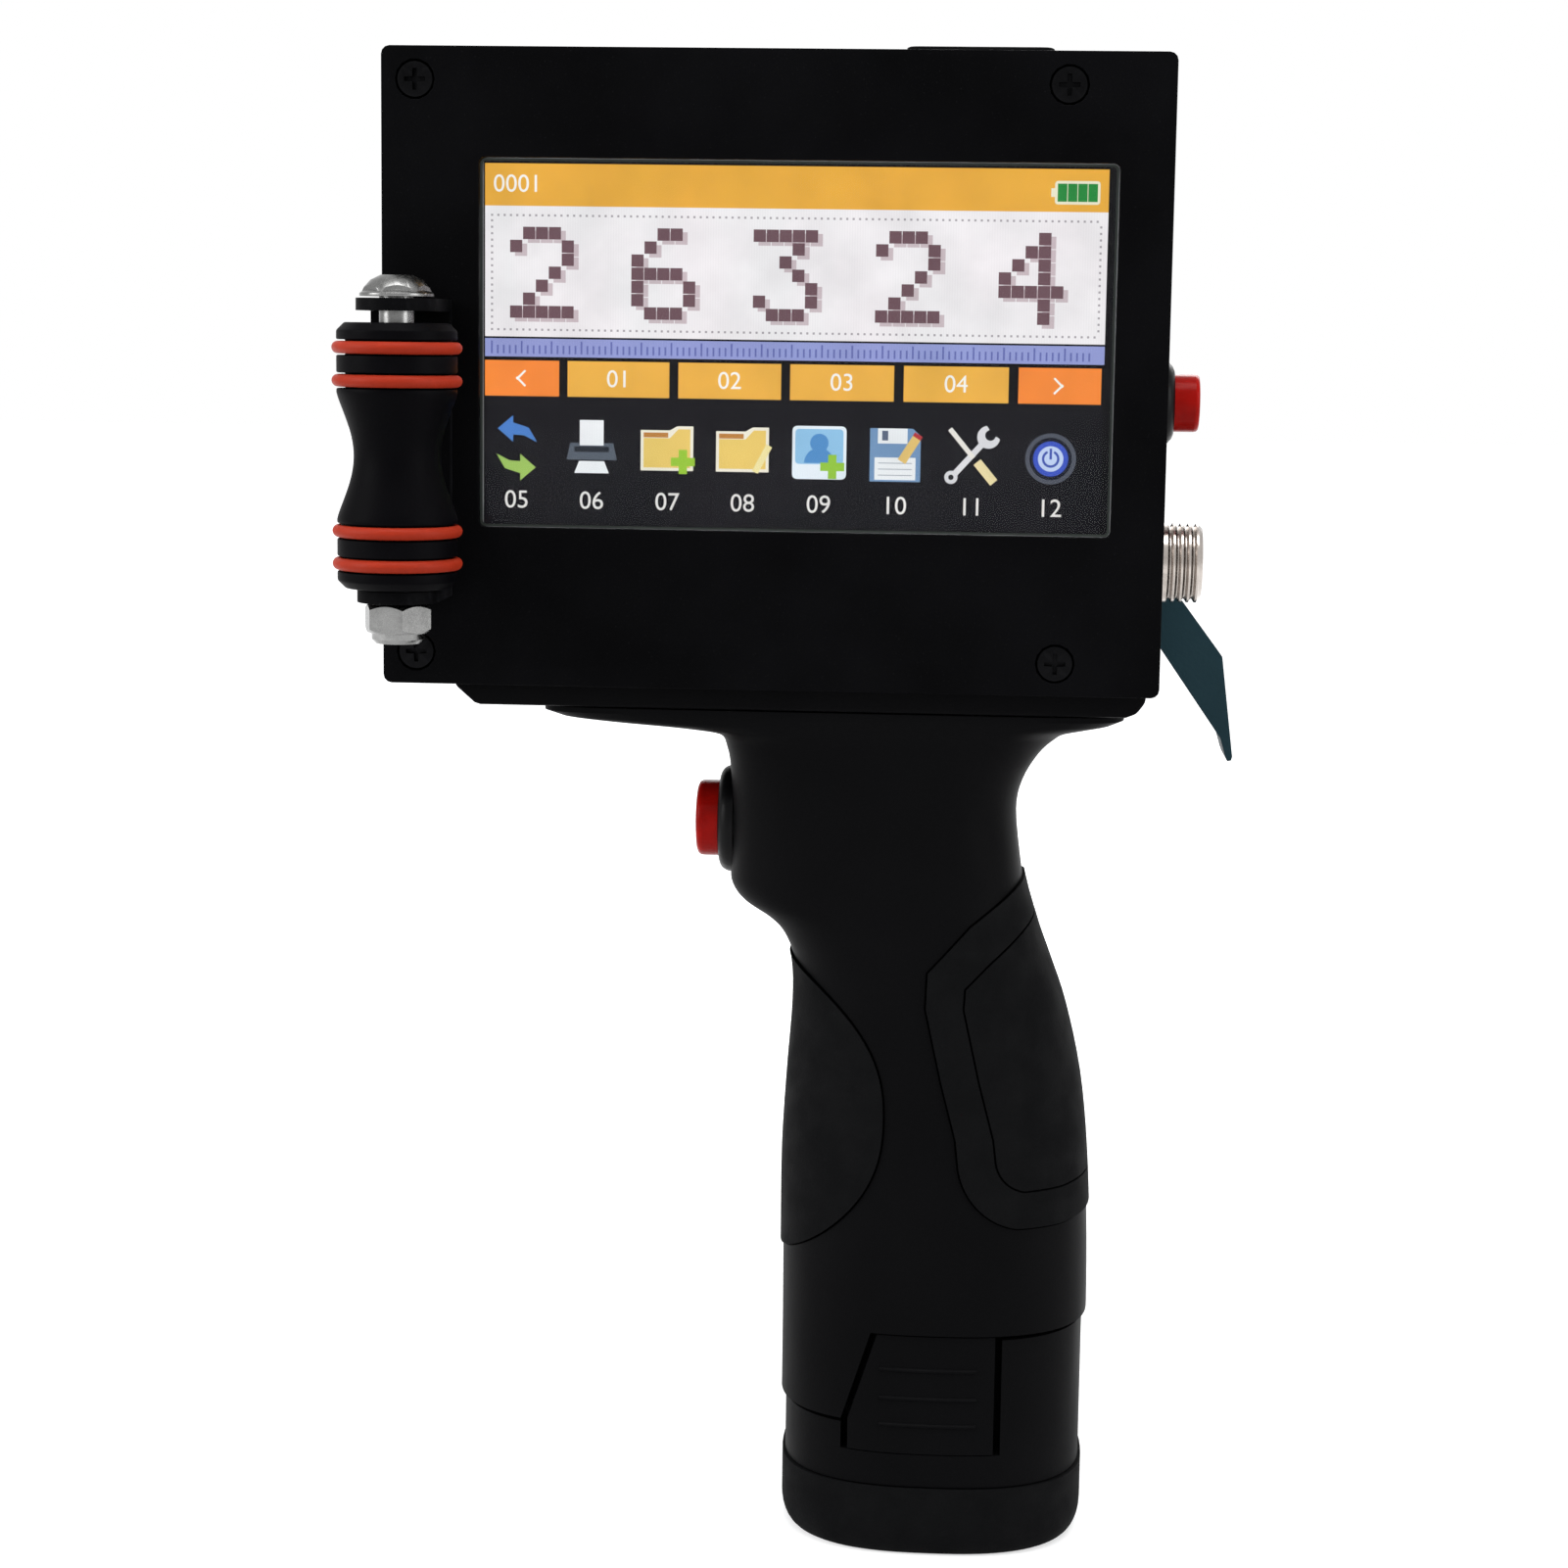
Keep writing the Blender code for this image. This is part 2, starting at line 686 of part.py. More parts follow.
def cartridge_stall():
    left = case_left + case_wall + 1.0 * MM
    right = case_right - case_wall - gap
    low_z = cartridge_bottom_z - gap - stall_rail
    top_z = cartridge_bottom_z + cartridge_height + gap
    floor = box_mesh((left, stall_y, low_z), (right, stall_y + stall_floor, top_z + stall_rail))
    obj = place("cartridge_stall", floor, black_plastic, (left, stall_y, low_z))
    rails = bmesh.new()
    into = stall_y + stall_floor - 0.5 * MM
    rail_end = stall_y + 18.0 * MM
    add_box(rails, (cartridge_left, into, low_z), (cartridge_right, rail_end, low_z + stall_rail))
    add_box(rails, (cartridge_left, into, top_z), (cartridge_right, rail_end, top_z + stall_rail))
    boolean(obj, mesh_of(rails), "UNION")
    ears = bmesh.new()
    ear_left = cartridge_right + 3.7 * MM
    ear_low, ear_high = low_z, latch_pin_z + 7.5 * MM
    add_box(ears, (ear_left, into, ear_low), (right, latch_y[0] - gap, ear_high))
    add_box(ears, (ear_left, latch_y[1] + gap, ear_low), (right, latch_y[1] + gap + latch_ear, ear_high))
    boolean(obj, mesh_of(ears), "UNION")
    web_size = 4.5 * MM
    web_end = (ear_left + web_size, latch_y[1] + gap + latch_ear, ear_low + web_size)
    web = box_mesh((ear_left, into, ear_low), web_end)
    boolean(obj, web, "UNION")
    cut = bmesh.new()
    pin_start = (latch_pin_x, stall_y + stall_floor + 0.2 * MM, latch_pin_z)
    add_cylinder(cut, pin_start, "Y", 25 * MM, latch_pin_radius + gap, 20)
    width, _, height = contact_size
    x, z = cartridge_left + contact_inset, snout_centre_z - height / 2
    add_box(
        cut,
        (x - gap, stall_y + stall_floor - contact_size[1] - gap, z - gap),
        (x + width + gap, stall_y + stall_floor + 0.2 * MM, z + height + gap),
    )
    return boolean(obj, mesh_of(cut))


def contact_board():
    width, thick, height = contact_size
    x, z = cartridge_left + contact_inset, snout_centre_z - height / 2
    y = stall_y + stall_floor - thick
    mesh = box_mesh((x, y, z), (x + width, y + thick, z + height))
    place("contact_board", mesh, circuit_green, (x, y, z))


def ink_cartridge():
    """The tank, open at its right end, with the snout that carries the nozzles."""
    top = cartridge_bottom_z + cartridge_height
    end = cartridge_right - cartridge_cap_thickness - gap
    low = (cartridge_left, cartridge_y, cartridge_bottom_z)
    high = (end, cartridge_y + cartridge_depth, top)
    origin = (cartridge_left, cartridge_centre_y, snout_centre_z)
    obj = place("ink_cartridge", box_mesh(low, high, 2.0 * MM, "X"), black_plastic, origin)
    half_z, half_y = snout_height / 2, snout_depth / 2
    snout = box_mesh(
        (cartridge_left - snout_length, cartridge_centre_y - half_y, snout_centre_z - half_z),
        (cartridge_left + MM, cartridge_centre_y + half_y, snout_centre_z + half_z),
        1.0 * MM,
        "X",
    )
    boolean(obj, snout, "UNION")
    wall = cartridge_wall
    boolean(
        obj,
        box_mesh(
            (low[0] + wall, low[1] + wall, low[2] + wall),
            (high[0] + MM, high[1] - wall, high[2] - wall),
        ),
    )
    grip = box_mesh(
        (cartridge_right - 18 * MM, high[1] - wall / 2, low[2] + 12 * MM),
        (cartridge_right - 8 * MM, high[1] + MM, high[2] - 12 * MM),
    )
    boolean(obj, grip)


def cartridge_cap():
    """The end of the tank, with a plug that fits inside its walls."""
    wall = cartridge_wall + gap
    inner = cartridge_right - cartridge_cap_thickness
    low = (inner, cartridge_y, cartridge_bottom_z)
    high = (cartridge_right, cartridge_y + cartridge_depth, cartridge_bottom_z + cartridge_height)
    obj = place("cartridge_cap", box_mesh(low, high, 2.0 * MM, "X"), black_plastic, low)
    plug = box_mesh(
        (inner - 2.5 * MM, low[1] + wall, low[2] + wall),
        (inner + MM, high[1] - wall, high[2] - wall),
    )
    boolean(obj, plug, "UNION")


def nozzle_strip():
    x = cartridge_left - snout_length - gap
    low = (x - 0.4 * MM, cartridge_centre_y - 3.2 * MM, snout_centre_z - 10 * MM)
    high = (x, cartridge_centre_y + 3.2 * MM, snout_centre_z + 10 * MM)
    place("nozzle_strip", box_mesh(low, high), copper, (x, cartridge_centre_y, snout_centre_z))


def nozzle_plate():
    x = case_left - gap
    low = (x - nozzle_plate_thickness, case_front_y + 4.2 * MM, snout_centre_z - nozzle_plate_half)
    high = (x, case_back_y - MM, snout_centre_z + nozzle_plate_half)
    obj = place("nozzle_plate", box_mesh(low, high, 2.0 * MM, "X"), aluminium, (x, 0, snout_centre_z))
    half_y, half_z = nozzle_slot_half
    slot = box_mesh(
        (x - 2 * MM, cartridge_centre_y - half_y, snout_centre_z - half_z),
        (x + MM, cartridge_centre_y + half_y, snout_centre_z + half_z),
        1.5 * MM,
        "X",
    )
    boolean(obj, slot)


def latch_outline():
    """The lever's side profile: a boss round the pin, a tapered arm to a thin tip, and a nub."""
    pin = Vector((latch_pin_x, latch_pin_z))
    tip = Vector((case_right + latch_tip[0], plate_bottom_z + latch_tip[1]))
    shoulder = tip + Vector((-2.3 * MM, 17.6 * MM))
    along = (shoulder - pin).normalized()
    side = Vector((-along.y, along.x))
    arm_start = pin + along * (latch_boss_radius * 0.6)
    under = Vector((case_right - 0.5 * MM, tip.y + 23.2 * MM))
    nub = Vector((math.cos(latch_nub_angle), math.sin(latch_nub_angle)))
    across = Vector((-nub.y, nub.x))
    nub_end = pin + nub * (latch_nub_reach - 1.6 * MM)
    points = [shoulder, arm_start + side * latch_bar_half]
    points += [nub_end - across * 1.8 * MM, pin + nub * latch_nub_reach, nub_end + across * 1.8 * MM]
    start = math.degrees(latch_nub_angle) + 25.0
    end = math.degrees(math.atan2(along.y, along.x)) + 360.0 - 60.0
    points += [Vector(p) for p in arc(pin, latch_boss_radius, start, end, 8)]
    points += [under, tip + Vector((-2.2 * MM, 3.2 * MM))]
    points += [tip + Vector((-1.3 * MM, 0.2 * MM)), tip + Vector((-0.9 * MM, -0.8 * MM))]
    points += [tip + Vector((-0.2 * MM, -0.7 * MM)), tip]
    return [(p[0], p[1]) for p in points]


def stall_latch():
    mesh = outline_mesh(latch_outline(), "Y", latch_y[0], latch_y[1])
    obj = place("stall_latch", mesh, teal_plastic, (latch_pin_x, latch_middle_y, latch_pin_z))
    bm = bmesh.new()
    add_cylinder(bm, (latch_pin_x, latch_y[0] - MM, latch_pin_z), "Y", 20 * MM, latch_pin_radius + gap, 20)
    boolean(obj, mesh_of(bm))


def latch_pin():
    bm = bmesh.new()
    start = stall_y + stall_floor + 0.2 * MM + gap
    length = latch_y[1] + gap + latch_ear - start
    add_cylinder(bm, (latch_pin_x, start, latch_pin_z), "Y", length, latch_pin_radius, 16)
    place("latch_pin", mesh_of(bm), zinc, (latch_pin_x, latch_middle_y, latch_pin_z))


# ---------------------------------------------------------------- roller


def lug_bottoms():
    """The underside of the lower lug and of the upper lug."""
    lower = roller_z[0] - gap - bracket_thickness
    upper = roller_z[1] + upper_lug_gap
    return lower, upper


def bracket_screw_zs():
    return (roller_middle_z - 8.0 * MM, roller_middle_z + 8.0 * MM)


def roller_bracket():
    lower, upper = lug_bottoms()
    back = plate_front_y - gap
    base = box_mesh(
        (roller_x - bracket_half_width, back - bracket_base, lower),
        (roller_x + bracket_half_width, back, upper + bracket_thickness),
    )
    obj = place("roller_bracket", base, powder_coat, (roller_x, back, lower))
    for bottom in (lower, upper):
        outline = arc((roller_x, roller_y), bracket_half_width, 180, 360, 10)
        outline += [(roller_x + bracket_half_width, back - MM), (roller_x - bracket_half_width, back - MM)]
        boolean(obj, outline_mesh(outline, "Z", bottom, bottom + bracket_thickness), "UNION")
    for bottom in (lower, upper):
        bm = bmesh.new()
        start = (roller_x, roller_y, bottom - MM)
        add_cylinder(bm, start, "Z", bracket_thickness + 2 * MM, axle_radius + gap, 18)
        boolean(obj, mesh_of(bm))
    for z in bracket_screw_zs():
        bm = bmesh.new()
        add_cylinder(bm, (roller_x, back - 4 * MM, z), "Y", 6 * MM, screw_radius + gap, 16)
        boolean(obj, mesh_of(bm))


def bracket_screws():
    """Low pan-head screws behind the roller, through the plate into the case's wall."""
    head = plate_front_y - gap - bracket_base - gap
    for number, z in enumerate(bracket_screw_zs(), 1):
        profile = [(0, 0.55 * MM), (1.6 * MM, 0.5 * MM), (2.4 * MM, 0.2 * MM), (2.4 * MM, 0.0)]
        profile += [(screw_radius, 0.0), (screw_radius, -7.5 * MM), (0, -7.5 * MM)]
        turned(f"bracket_screw_{number}", profile, black_steel, (roller_x, head, z), "-Y", steps=16)


def roller():
    """A bobbin with a concave waist, four grooves and a bore, turned about its own axle."""
    half = (roller_z[1] - roller_z[0]) / 2
    groove_half = ring_section + press_gap
    groove_radius = ring_outer_radius - 2 * ring_section - press_gap
    bore = axle_radius + gap
    upper = [(bore, half), (roller_radius - roller_chamfer, half), (roller_radius, half - roller_chamfer)]
    for offset in reversed(ring_offsets):
        upper += [
            (roller_radius, offset + groove_half),
            (groove_radius, offset + groove_half),
            (groove_radius, offset - groove_half),
            (roller_radius, offset - groove_half),
        ]
    waist = []
    steps = 8
    for i in range(steps + 1):
        height = waist_half_length * (1 - 2 * i / steps)
        depth = (roller_radius - waist_radius) * math.cos(math.pi / 2 * height / waist_half_length) ** 1.2
        waist.append((roller_radius - depth, height))
    lower = [(radius, -height) for radius, height in reversed(upper)]
    origin = (roller_x, roller_y, roller_middle_z)
    turned("roller", upper + waist + lower, black_plastic, origin, steps=22, closed=True)


def roller_rings():
    heights = list(reversed(ring_offsets)) + [-offset for offset in ring_offsets]
    middle = ring_outer_radius - ring_section
    for number, height in enumerate(heights, 1):
        profile = arc((middle, 0.0), ring_section, 90, -210, 5)
        origin = (roller_x, roller_y, roller_middle_z + height)
        turned(f"roller_ring_{number}", profile, orange_silicone, origin, steps=24, closed=True)


def hexagon(across_flats, low, high, start_angle):
    radius = across_flats / math.sqrt(3)
    points = arc((roller_x, roller_y), radius, start_angle, start_angle + 300, 5)
    return outline_mesh(points, "Z", low, high)


def roller_bolt():
    lower, upper = lug_bottoms()
    seat = upper + bracket_thickness + gap
    end = lower - gap - nut_height + 1.0 * MM
    profile = [
        (0.0, 1.2 * MM),
        (bolt_flange_radius - 1.0 * MM, 1.0 * MM),
        (bolt_flange_radius, 0.5 * MM),
        (bolt_flange_radius, 0.0),
        (axle_radius, 0.0),
        (axle_radius, end - seat),
        (0.0, end - seat),
    ]
    obj = turned("roller_bolt", profile, zinc, (roller_x, roller_y, seat), steps=24)
    boolean(obj, hexagon(bolt_across_flats, seat + 0.6 * MM, seat + bolt_head_height, 12), "UNION")


def roller_nut():
    """A lock nut: a hexagon with a plain collar under it."""
    top = lug_bottoms()[0] - gap
    hex_bottom = top - nut_height + 1.7 * MM
    nut = hexagon(bolt_across_flats, hex_bottom, top, -12)
    obj = place("roller_nut", nut, zinc, (roller_x, roller_y, top))
    bm = bmesh.new()
    add_cylinder(bm, (roller_x, roller_y, top - nut_height), "Z", 2.5 * MM, 4.3 * MM, 24)
    boolean(obj, mesh_of(bm), "UNION")
    bm = bmesh.new()
    start = (roller_x, roller_y, top - nut_height - MM)
    add_cylinder(bm, start, "Z", nut_height + 3 * MM, axle_radius + gap, 20)
    boolean(obj, mesh_of(bm))


# ---------------------------------------------------------------- controls


def power_bezel():
    """Bezel and switch body as one turned piece, with a blind bore for the cap."""
    outside = gap
    bore = power_cap_radius + gap
    depth = -15.0 * MM
    profile = [
        (bore, outside + power_bezel_height),
        (power_bezel_radius - 1.6 * MM, outside + power_bezel_height),
        (power_bezel_radius - 0.5 * MM, outside + power_bezel_height - 0.9 * MM),
        (power_bezel_radius, outside + 0.6 * MM),
        (power_bezel_radius, outside),
        (power_body_radius, outside),
        (power_body_radius, depth),
        (0.0, depth),
        (0.0, depth + 3.0 * MM),
        (bore, depth + 3.0 * MM),
    ]
    origin = (case_right, control_y, power_z)
    turned("power_bezel", profile, black_plastic, origin, "+X", steps=24, closed=True)


def power_cap():
    top = gap + power_bezel_height + power_cap_height
    low = -8.0 * MM
    radius = power_cap_radius
    profile = [(0.0, top), (radius - 1.0 * MM, top - 0.1 * MM), (radius - 0.2 * MM, top - 0.5 * MM)]
    profile += [(radius, top - 1.2 * MM), (radius, low), (0.0, low)]
    turned("power_cap", profile, red_gloss, (case_right, control_y, power_z), "+X", steps=24)


def connector_shell():
    """A threaded socket: a barrel with ridges outside the wall, and a body inside it."""
    end = gap + connector_length
    ridges = [(connector_radius - 0.5 * MM, end)]
    count = int((connector_length - 1.4 * MM) / thread_pitch)
    for i in range(count):
        crest = end - 0.5 * MM - i * thread_pitch
        ridges.append((connector_radius, crest))
        ridges.append((connector_radius - thread_depth, crest - thread_pitch / 2))
    base = end - 0.5 * MM - count * thread_pitch
    profile = [(connector_bore, end)] + ridges + [(connector_radius, base), (connector_radius, gap)]
    profile += [(power_body_radius, gap), (power_body_radius, -11.0 * MM), (connector_bore, -11.0 * MM)]
    origin = (case_right, control_y, connector_z)
    turned("connector_shell", profile, zinc, origin, "+X", steps=24, closed=True)


def connector_insert():
    radius = connector_bore - gap
    profile = [(0.0, 0.8 * MM), (radius, 0.8 * MM), (radius, -10.5 * MM), (0.0, -10.5 * MM)]
    turned("connector_insert", profile, black_plastic, (case_right, control_y, connector_z), "+X", steps=24)


# ---------------------------------------------------------------- saddle and handle


def saddle_plate():
    """The adapter between the box and the handle, with slanted ends."""
    top = case_bottom_z - gap
    left, right = case_left + 10.0 * MM, case_right - 0.8 * MM
    slant = 3.6 * MM
    points = [
        (left, top),
        (left + 0.4 * MM, top - 1.6 * MM),
        (left + slant, saddle_bottom_z + 0.3 * MM),
        (left + slant + 1.0 * MM, saddle_bottom_z),
        (right - 3.4 * MM, saddle_bottom_z),
        (right - 1.6 * MM, saddle_bottom_z + 0.7 * MM),
        (right - 0.2 * MM, saddle_bottom_z + 2.6 * MM),
        (right, top),
    ]
    mesh = outline_mesh(points, "Y", -saddle_half_depth, saddle_half_depth)
    obj = place("saddle_plate", mesh, black_plastic, (0, 0, top))
    slot = bmesh.new()
    add_wire_slot(slot, saddle_bottom_z - MM, top + MM)
    boolean(obj, mesh_of(slot))


def handle_sections():
    """Level sections of the handle, top to bottom: z, left x, right x, half depth, power (mm)."""
    top = flange_top_z / MM
    rows = [
        (top, -69.0, 30.5, 22.4, 9.0),
        (top - 0.9, -69.0, 30.5, 22.4, 9.0),
        (top - 1.9, -66.3, 28.4, 21.9, 8.0),
        (top - 2.7, -59.5, 25.0, 21.5, 7.0),
        (top - 3.7, -48.0, 21.2, 20.9, 5.5),
        (top - 5.1, -40.0, 19.2, 20.4, 4.2),
        (top - 8.0, -38.2, 16.4, 20.2, 3.5),
        (top - 13.0, -37.5, 13.6, 20.0, 3.1),
        (top - 18.7, -37.4, 12.6, 20.0, 3.0),
        (119.0, -37.4, 13.7, 20.0, 3.0),
        (115.6, -37.2, 14.4, 20.1, 2.9),
        (112.8, -35.2, 15.2, 20.3, 2.8),
        (110.0, -30.8, 16.1, 20.5, 2.8),
        (107.0, -28.0, 17.1, 20.8, 2.7),
        (102.0, -26.1, 19.0, 21.1, 2.6),
        (94.0, -25.8, 21.8, 21.8, 2.6),
        (82.0, -26.6, 24.6, 22.7, 2.6),
        (68.0, -27.3, 26.2, 23.5, 2.6),
        (52.0, -27.3, 27.0, 24.2, 2.6),
        (36.0, -27.2, 27.2, 24.5, 2.6),
        (20.0, -27.2, 27.0, 24.5, 2.6),
    ]
    return [(z * MM, left * MM, right * MM, half * MM, power) for z, left, right, half, power in rows]


def inner_sections(inset):
    """The handle's outer sections drawn in by an inset below the flange, open above it."""
    inner = []
    for z, left, right, half, power in handle_sections():
        if z > flange_top_z - 3.0 * MM:
            continue
        if z > flange_top_z - 8.0 * MM:
            left, right = max(left, -38.5 * MM), min(right, 16.5 * MM)
        inner.append((z, left + inset, right - inset, half - inset, power))
    mouth = (flange_top_z + MM, inner[0][1] - 2 * MM, inner[0][2] + 2 * MM, inner[0][3], inner[0][4])
    end = (18.0 * MM, inner[-1][1], inner[-1][2], inner[-1][3], inner[-1][4])
    return [mouth] + inner + [end]


def rim_outline(drop):
    """The region under the handle's stepped lower edge, lowered by an amount."""
    left, right = rim_slope_x
    run, rise = right - left, rim_rear_z - rim_front_z
    shift = drop * (math.hypot(run, rise) - run) / rise
    far = 60 * MM
    return [
        (-far, rim_front_z - drop),
        (left + shift, rim_front_z - drop),
        (right + shift, rim_rear_z - drop),
        (far, rim_rear_z - drop),
        (far, -10 * MM),
        (-far, -10 * MM),
    ]


def front_pad_outline(grow):
    """The pad on the trigger side, seen from the side, grown by an amount."""
    top, bottom = 105.5 * MM + grow, 51.0 * MM - grow
    middle, half = (top + bottom) / 2, (top - bottom) / 2
    edge = -9.2 * MM + grow
    depth = 18.5 * MM
    points = [(-40 * MM, top)]
    for i in range(17):
        t = -1 + 2 * i / 16
        z = middle - half * t
        lean = 0.10 * (1 - t)  # the widest place lies below the middle
        bulge = 1 - abs(t + lean) ** 2.4 if abs(t + lean) < 1 else 0.0
        points.append((edge - depth * (1 - bulge), z))
    points.append((-40 * MM, bottom))
    return points


def rear_pad_points(grow):
    """The pad on the other side: a slanted top, a nearly straight front edge, a round lower corner."""
    g = grow
    edge = [(22.0 * MM, 117.0 * MM + 1.4 * g), (8.4 * MM - 0.5 * g, 104.2 * MM + g)]
    edge += [(4.6 * MM - g, 100.4 * MM + 0.4 * g)]
    edge += [(4.4 * MM - g, 97.0 * MM), (7.3 * MM - g, 84.5 * MM), (10.0 * MM - g, 74.5 * MM)]
    edge += arc((16.6 * MM, 71.6 * MM), 6.2 * MM + g, 190, 260, 5)
    edge += [(22.0 * MM, 65.6 * MM - g), (40 * MM, 68.0 * MM - g), (40 * MM, 128.0 * MM + g)]
    return edge


def side_prism(points):
    return outline_mesh(points, "Y", -40 * MM, 40 * MM)


def pad(name, outline, holes=()):
    """A rubber skin: the outline's share of a thin layer at the handle's surface."""
    outer = loft(handle_sections(), handle_points)
    obj = place(name, outer, black_rubber, (0, 0, 0))
    boolean(obj, loft(inner_sections(pad_thickness), handle_points))
    boolean(obj, side_prism(outline), "INTERSECT")
    for hole in holes:
        boolean(obj, side_prism(hole))
    return obj


def grip_pads():
    pad("front_grip_pad", front_pad_outline(0.0))
    pad("rear_grip_pad", rear_pad_points(0.0))
    pad("rear_grip_band", rear_pad_points(6.6 * MM), [rear_pad_points(pad_seam)])


def handle_shell():
    """The whole handle before it is split: wall, bosses, seats of the pads and of the trigger."""
    obj = place("handle", loft(handle_sections(), handle_points), black_plastic)
    boolean(obj, loft(inner_sections(handle_wall), handle_points))
    bosses = bmesh.new()
    for x, z in handle_screws:
        add_cylinder(bosses, (x, -30 * MM, z), "Y", 60 * MM, boss_radius, 16)
    trimmed = place("bosses", mesh_of(bosses), None, home=cutters)
    boolean(trimmed, loft(inner_sections(handle_wall / 2), handle_points), "INTERSECT")
    boolean(obj, baked(trimmed), "UNION")
    boolean(obj, side_prism(rim_outline(0.0)))
    for outline in (front_pad_outline(pad_seam), rear_pad_points(6.6 * MM + pad_seam)):
        seat = place("seat", side_prism(outline), None, home=cutters)
        boolean(seat, loft(inner_sections(pad_thickness + gap), handle_points))
        boolean(obj, baked(seat))
    cut = bmesh.new()
    start = (neck_front_x - 3 * MM, 0, trigger_z)
    add_cylinder(cut, start, "X", 3 * MM + trigger_seat, trigger_bezel_radius + gap, 32)
    boolean(obj, mesh_of(cut))
    cut = bmesh.new()
    start = (neck_front_x - 2 * MM, 0, trigger_z)
    add_cylinder(cut, start, "X", 9 * MM, trigger_body_radius + gap, 32)
    boolean(obj, mesh_of(cut))
    for x, z in handle_screws:
        cut = bmesh.new()
        start = (x, handle_screw_seat - handle_screw_length, z)
        add_cylinder(cut, start, "Y", 50 * MM, screw_radius + gap, 14)
        boolean(obj, mesh_of(cut))
        cut = bmesh.new()
        add_cylinder(cut, (x, handle_screw_seat, z), "Y", 20 * MM, screw_head_radius + gap, 14)
        boolean(obj, mesh_of(cut))
    return baked(obj)


def handle_halves():
    whole = handle_shell()
    far = 90 * MM
    for name, side in (("handle_front_half", -1), ("handle_back_half", 1)):
        near, outer = sorted((side * gap / 2, side * far))
        obj = place(name, whole.copy(), black_plastic)
        boolean(obj, box_mesh((-far, near, 0), (far, outer, 200 * MM)), "INTERSECT")
        obj.data.name = name
    bpy.data.meshes.remove(whole)


def handle_screw_set():
    seat = handle_screw_seat + gap
    end = -handle_screw_length
    for number, (x, z) in enumerate(handle_screws, 1):
        profile = [(0, 1.8 * MM), (screw_head_radius - 0.6 * MM, 1.8 * MM), (screw_head_radius, 1.1 * MM)]
        profile += [(screw_head_radius, 0.0), (screw_radius, 0.0), (screw_radius, end), (0, end)]
        obj = turned(f"handle_screw_{number}", profile, black_steel, (x, seat, z), "+Y", steps=14)
        boolean(obj, cross_recess((x, seat + 1.8 * MM, z), cross_depth, 1))


def trigger_bezel():
    """A domed ring in its seat on the neck, with a collar through the wall."""
    seat = -(neck_front_x + trigger_seat - gap)
    bore = trigger_cap_radius + gap
    top = -neck_front_x + trigger_bezel_height
    radius = trigger_bezel_radius
    profile = [
        (bore, top),
        (radius - 1.7 * MM, top),
        (radius - 0.7 * MM, top - 0.4 * MM),
        (radius - 0.15 * MM, top - 1.1 * MM),
        (radius, top - 1.8 * MM),
        (radius, seat),
        (trigger_body_radius, seat),
        (trigger_body_radius, 31.7 * MM),
        (bore, 31.7 * MM),
    ]
    turned("trigger_bezel", profile, black_plastic, (0, 0, trigger_z), "-X", steps=28, closed=True)


def trigger_cap():
    top = -neck_front_x + trigger_bezel_height + trigger_cap_height
    low = 34.4 * MM
    radius = trigger_cap_radius
    origin_x = neck_front_x
    profile = [(0.0, top), (radius * 0.5, top - 0.12 * MM), (radius - 0.7 * MM, top - 0.4 * MM)]
    profile += [(radius - 0.15 * MM, top - 0.8 * MM), (radius, top - 1.4 * MM), (radius, low), (0.0, low)]
    shifted = [(r, h + origin_x) for r, h in profile]
    turned("trigger_cap", shifted, red_gloss, (origin_x, 0, trigger_z), "-X", steps=28)


def trigger_switch():
    near, far = 31.4 * MM, 17.5 * MM
    profile = [(0.0, near), (trigger_body_radius, near), (trigger_body_radius, far), (0.0, far)]
    obj = turned("trigger_switch", profile, black_plastic, (0, 0, trigger_z), "-X", steps=28)
    lugs = bmesh.new()
    for y in (-4 * MM, 4 * MM):
        low = (-18 * MM, y - 1.2 * MM, trigger_z - 0.4 * MM)
        high = (-12.5 * MM, y + 1.2 * MM, trigger_z + 0.4 * MM)
        add_box(lugs, low, high)
    boolean(obj, mesh_of(lugs), "UNION")


def handle_contacts():
    low = (-10 * MM, -18.3 * MM, 90.6 * MM)
    high = (6 * MM, 18.3 * MM, 95.6 * MM)
    obj = place("handle_contacts", box_mesh(low, high), black_plastic, (0, 0, low[2]))
    blades = bmesh.new()
    for x in (-4 * MM, 4 * MM):
        add_box(blades, (x - 0.5 * MM, -4 * MM, 87.4 * MM), (x + 0.5 * MM, 4 * MM, 91.6 * MM))
    boolean(obj, mesh_of(blades), "UNION")


# ---------------------------------------------------------------- battery


def battery_case():
    """The block under the handle's rim and the tower that goes up into the grip, hollow for the cells."""
    count = battery_points
    block = straight(rim_rear_z + 4 * MM, foot_height + gap, battery_half, 2.6, count)
    obj = place("battery_case", block, black_plastic)
    boolean(obj, side_prism(rim_outline(gap)), "INTERSECT")
    tower = straight(tower_top_z, foot_height + MM, tower_half, 3.0, count)
    boolean(obj, tower, "UNION")
    boolean(obj, tab_space())
    cavity_half = (tower_half[0] - tower_wall, tower_half[1] - tower_wall)
    boolean(obj, straight(tower_top_z - 1.2 * MM, 5 * MM, cavity_half, 3.0, count))
    boolean(obj, box_mesh((-6 * MM, -4 * MM, tower_top_z - 4 * MM), (6 * MM, 4 * MM, tower_top_z + MM)))


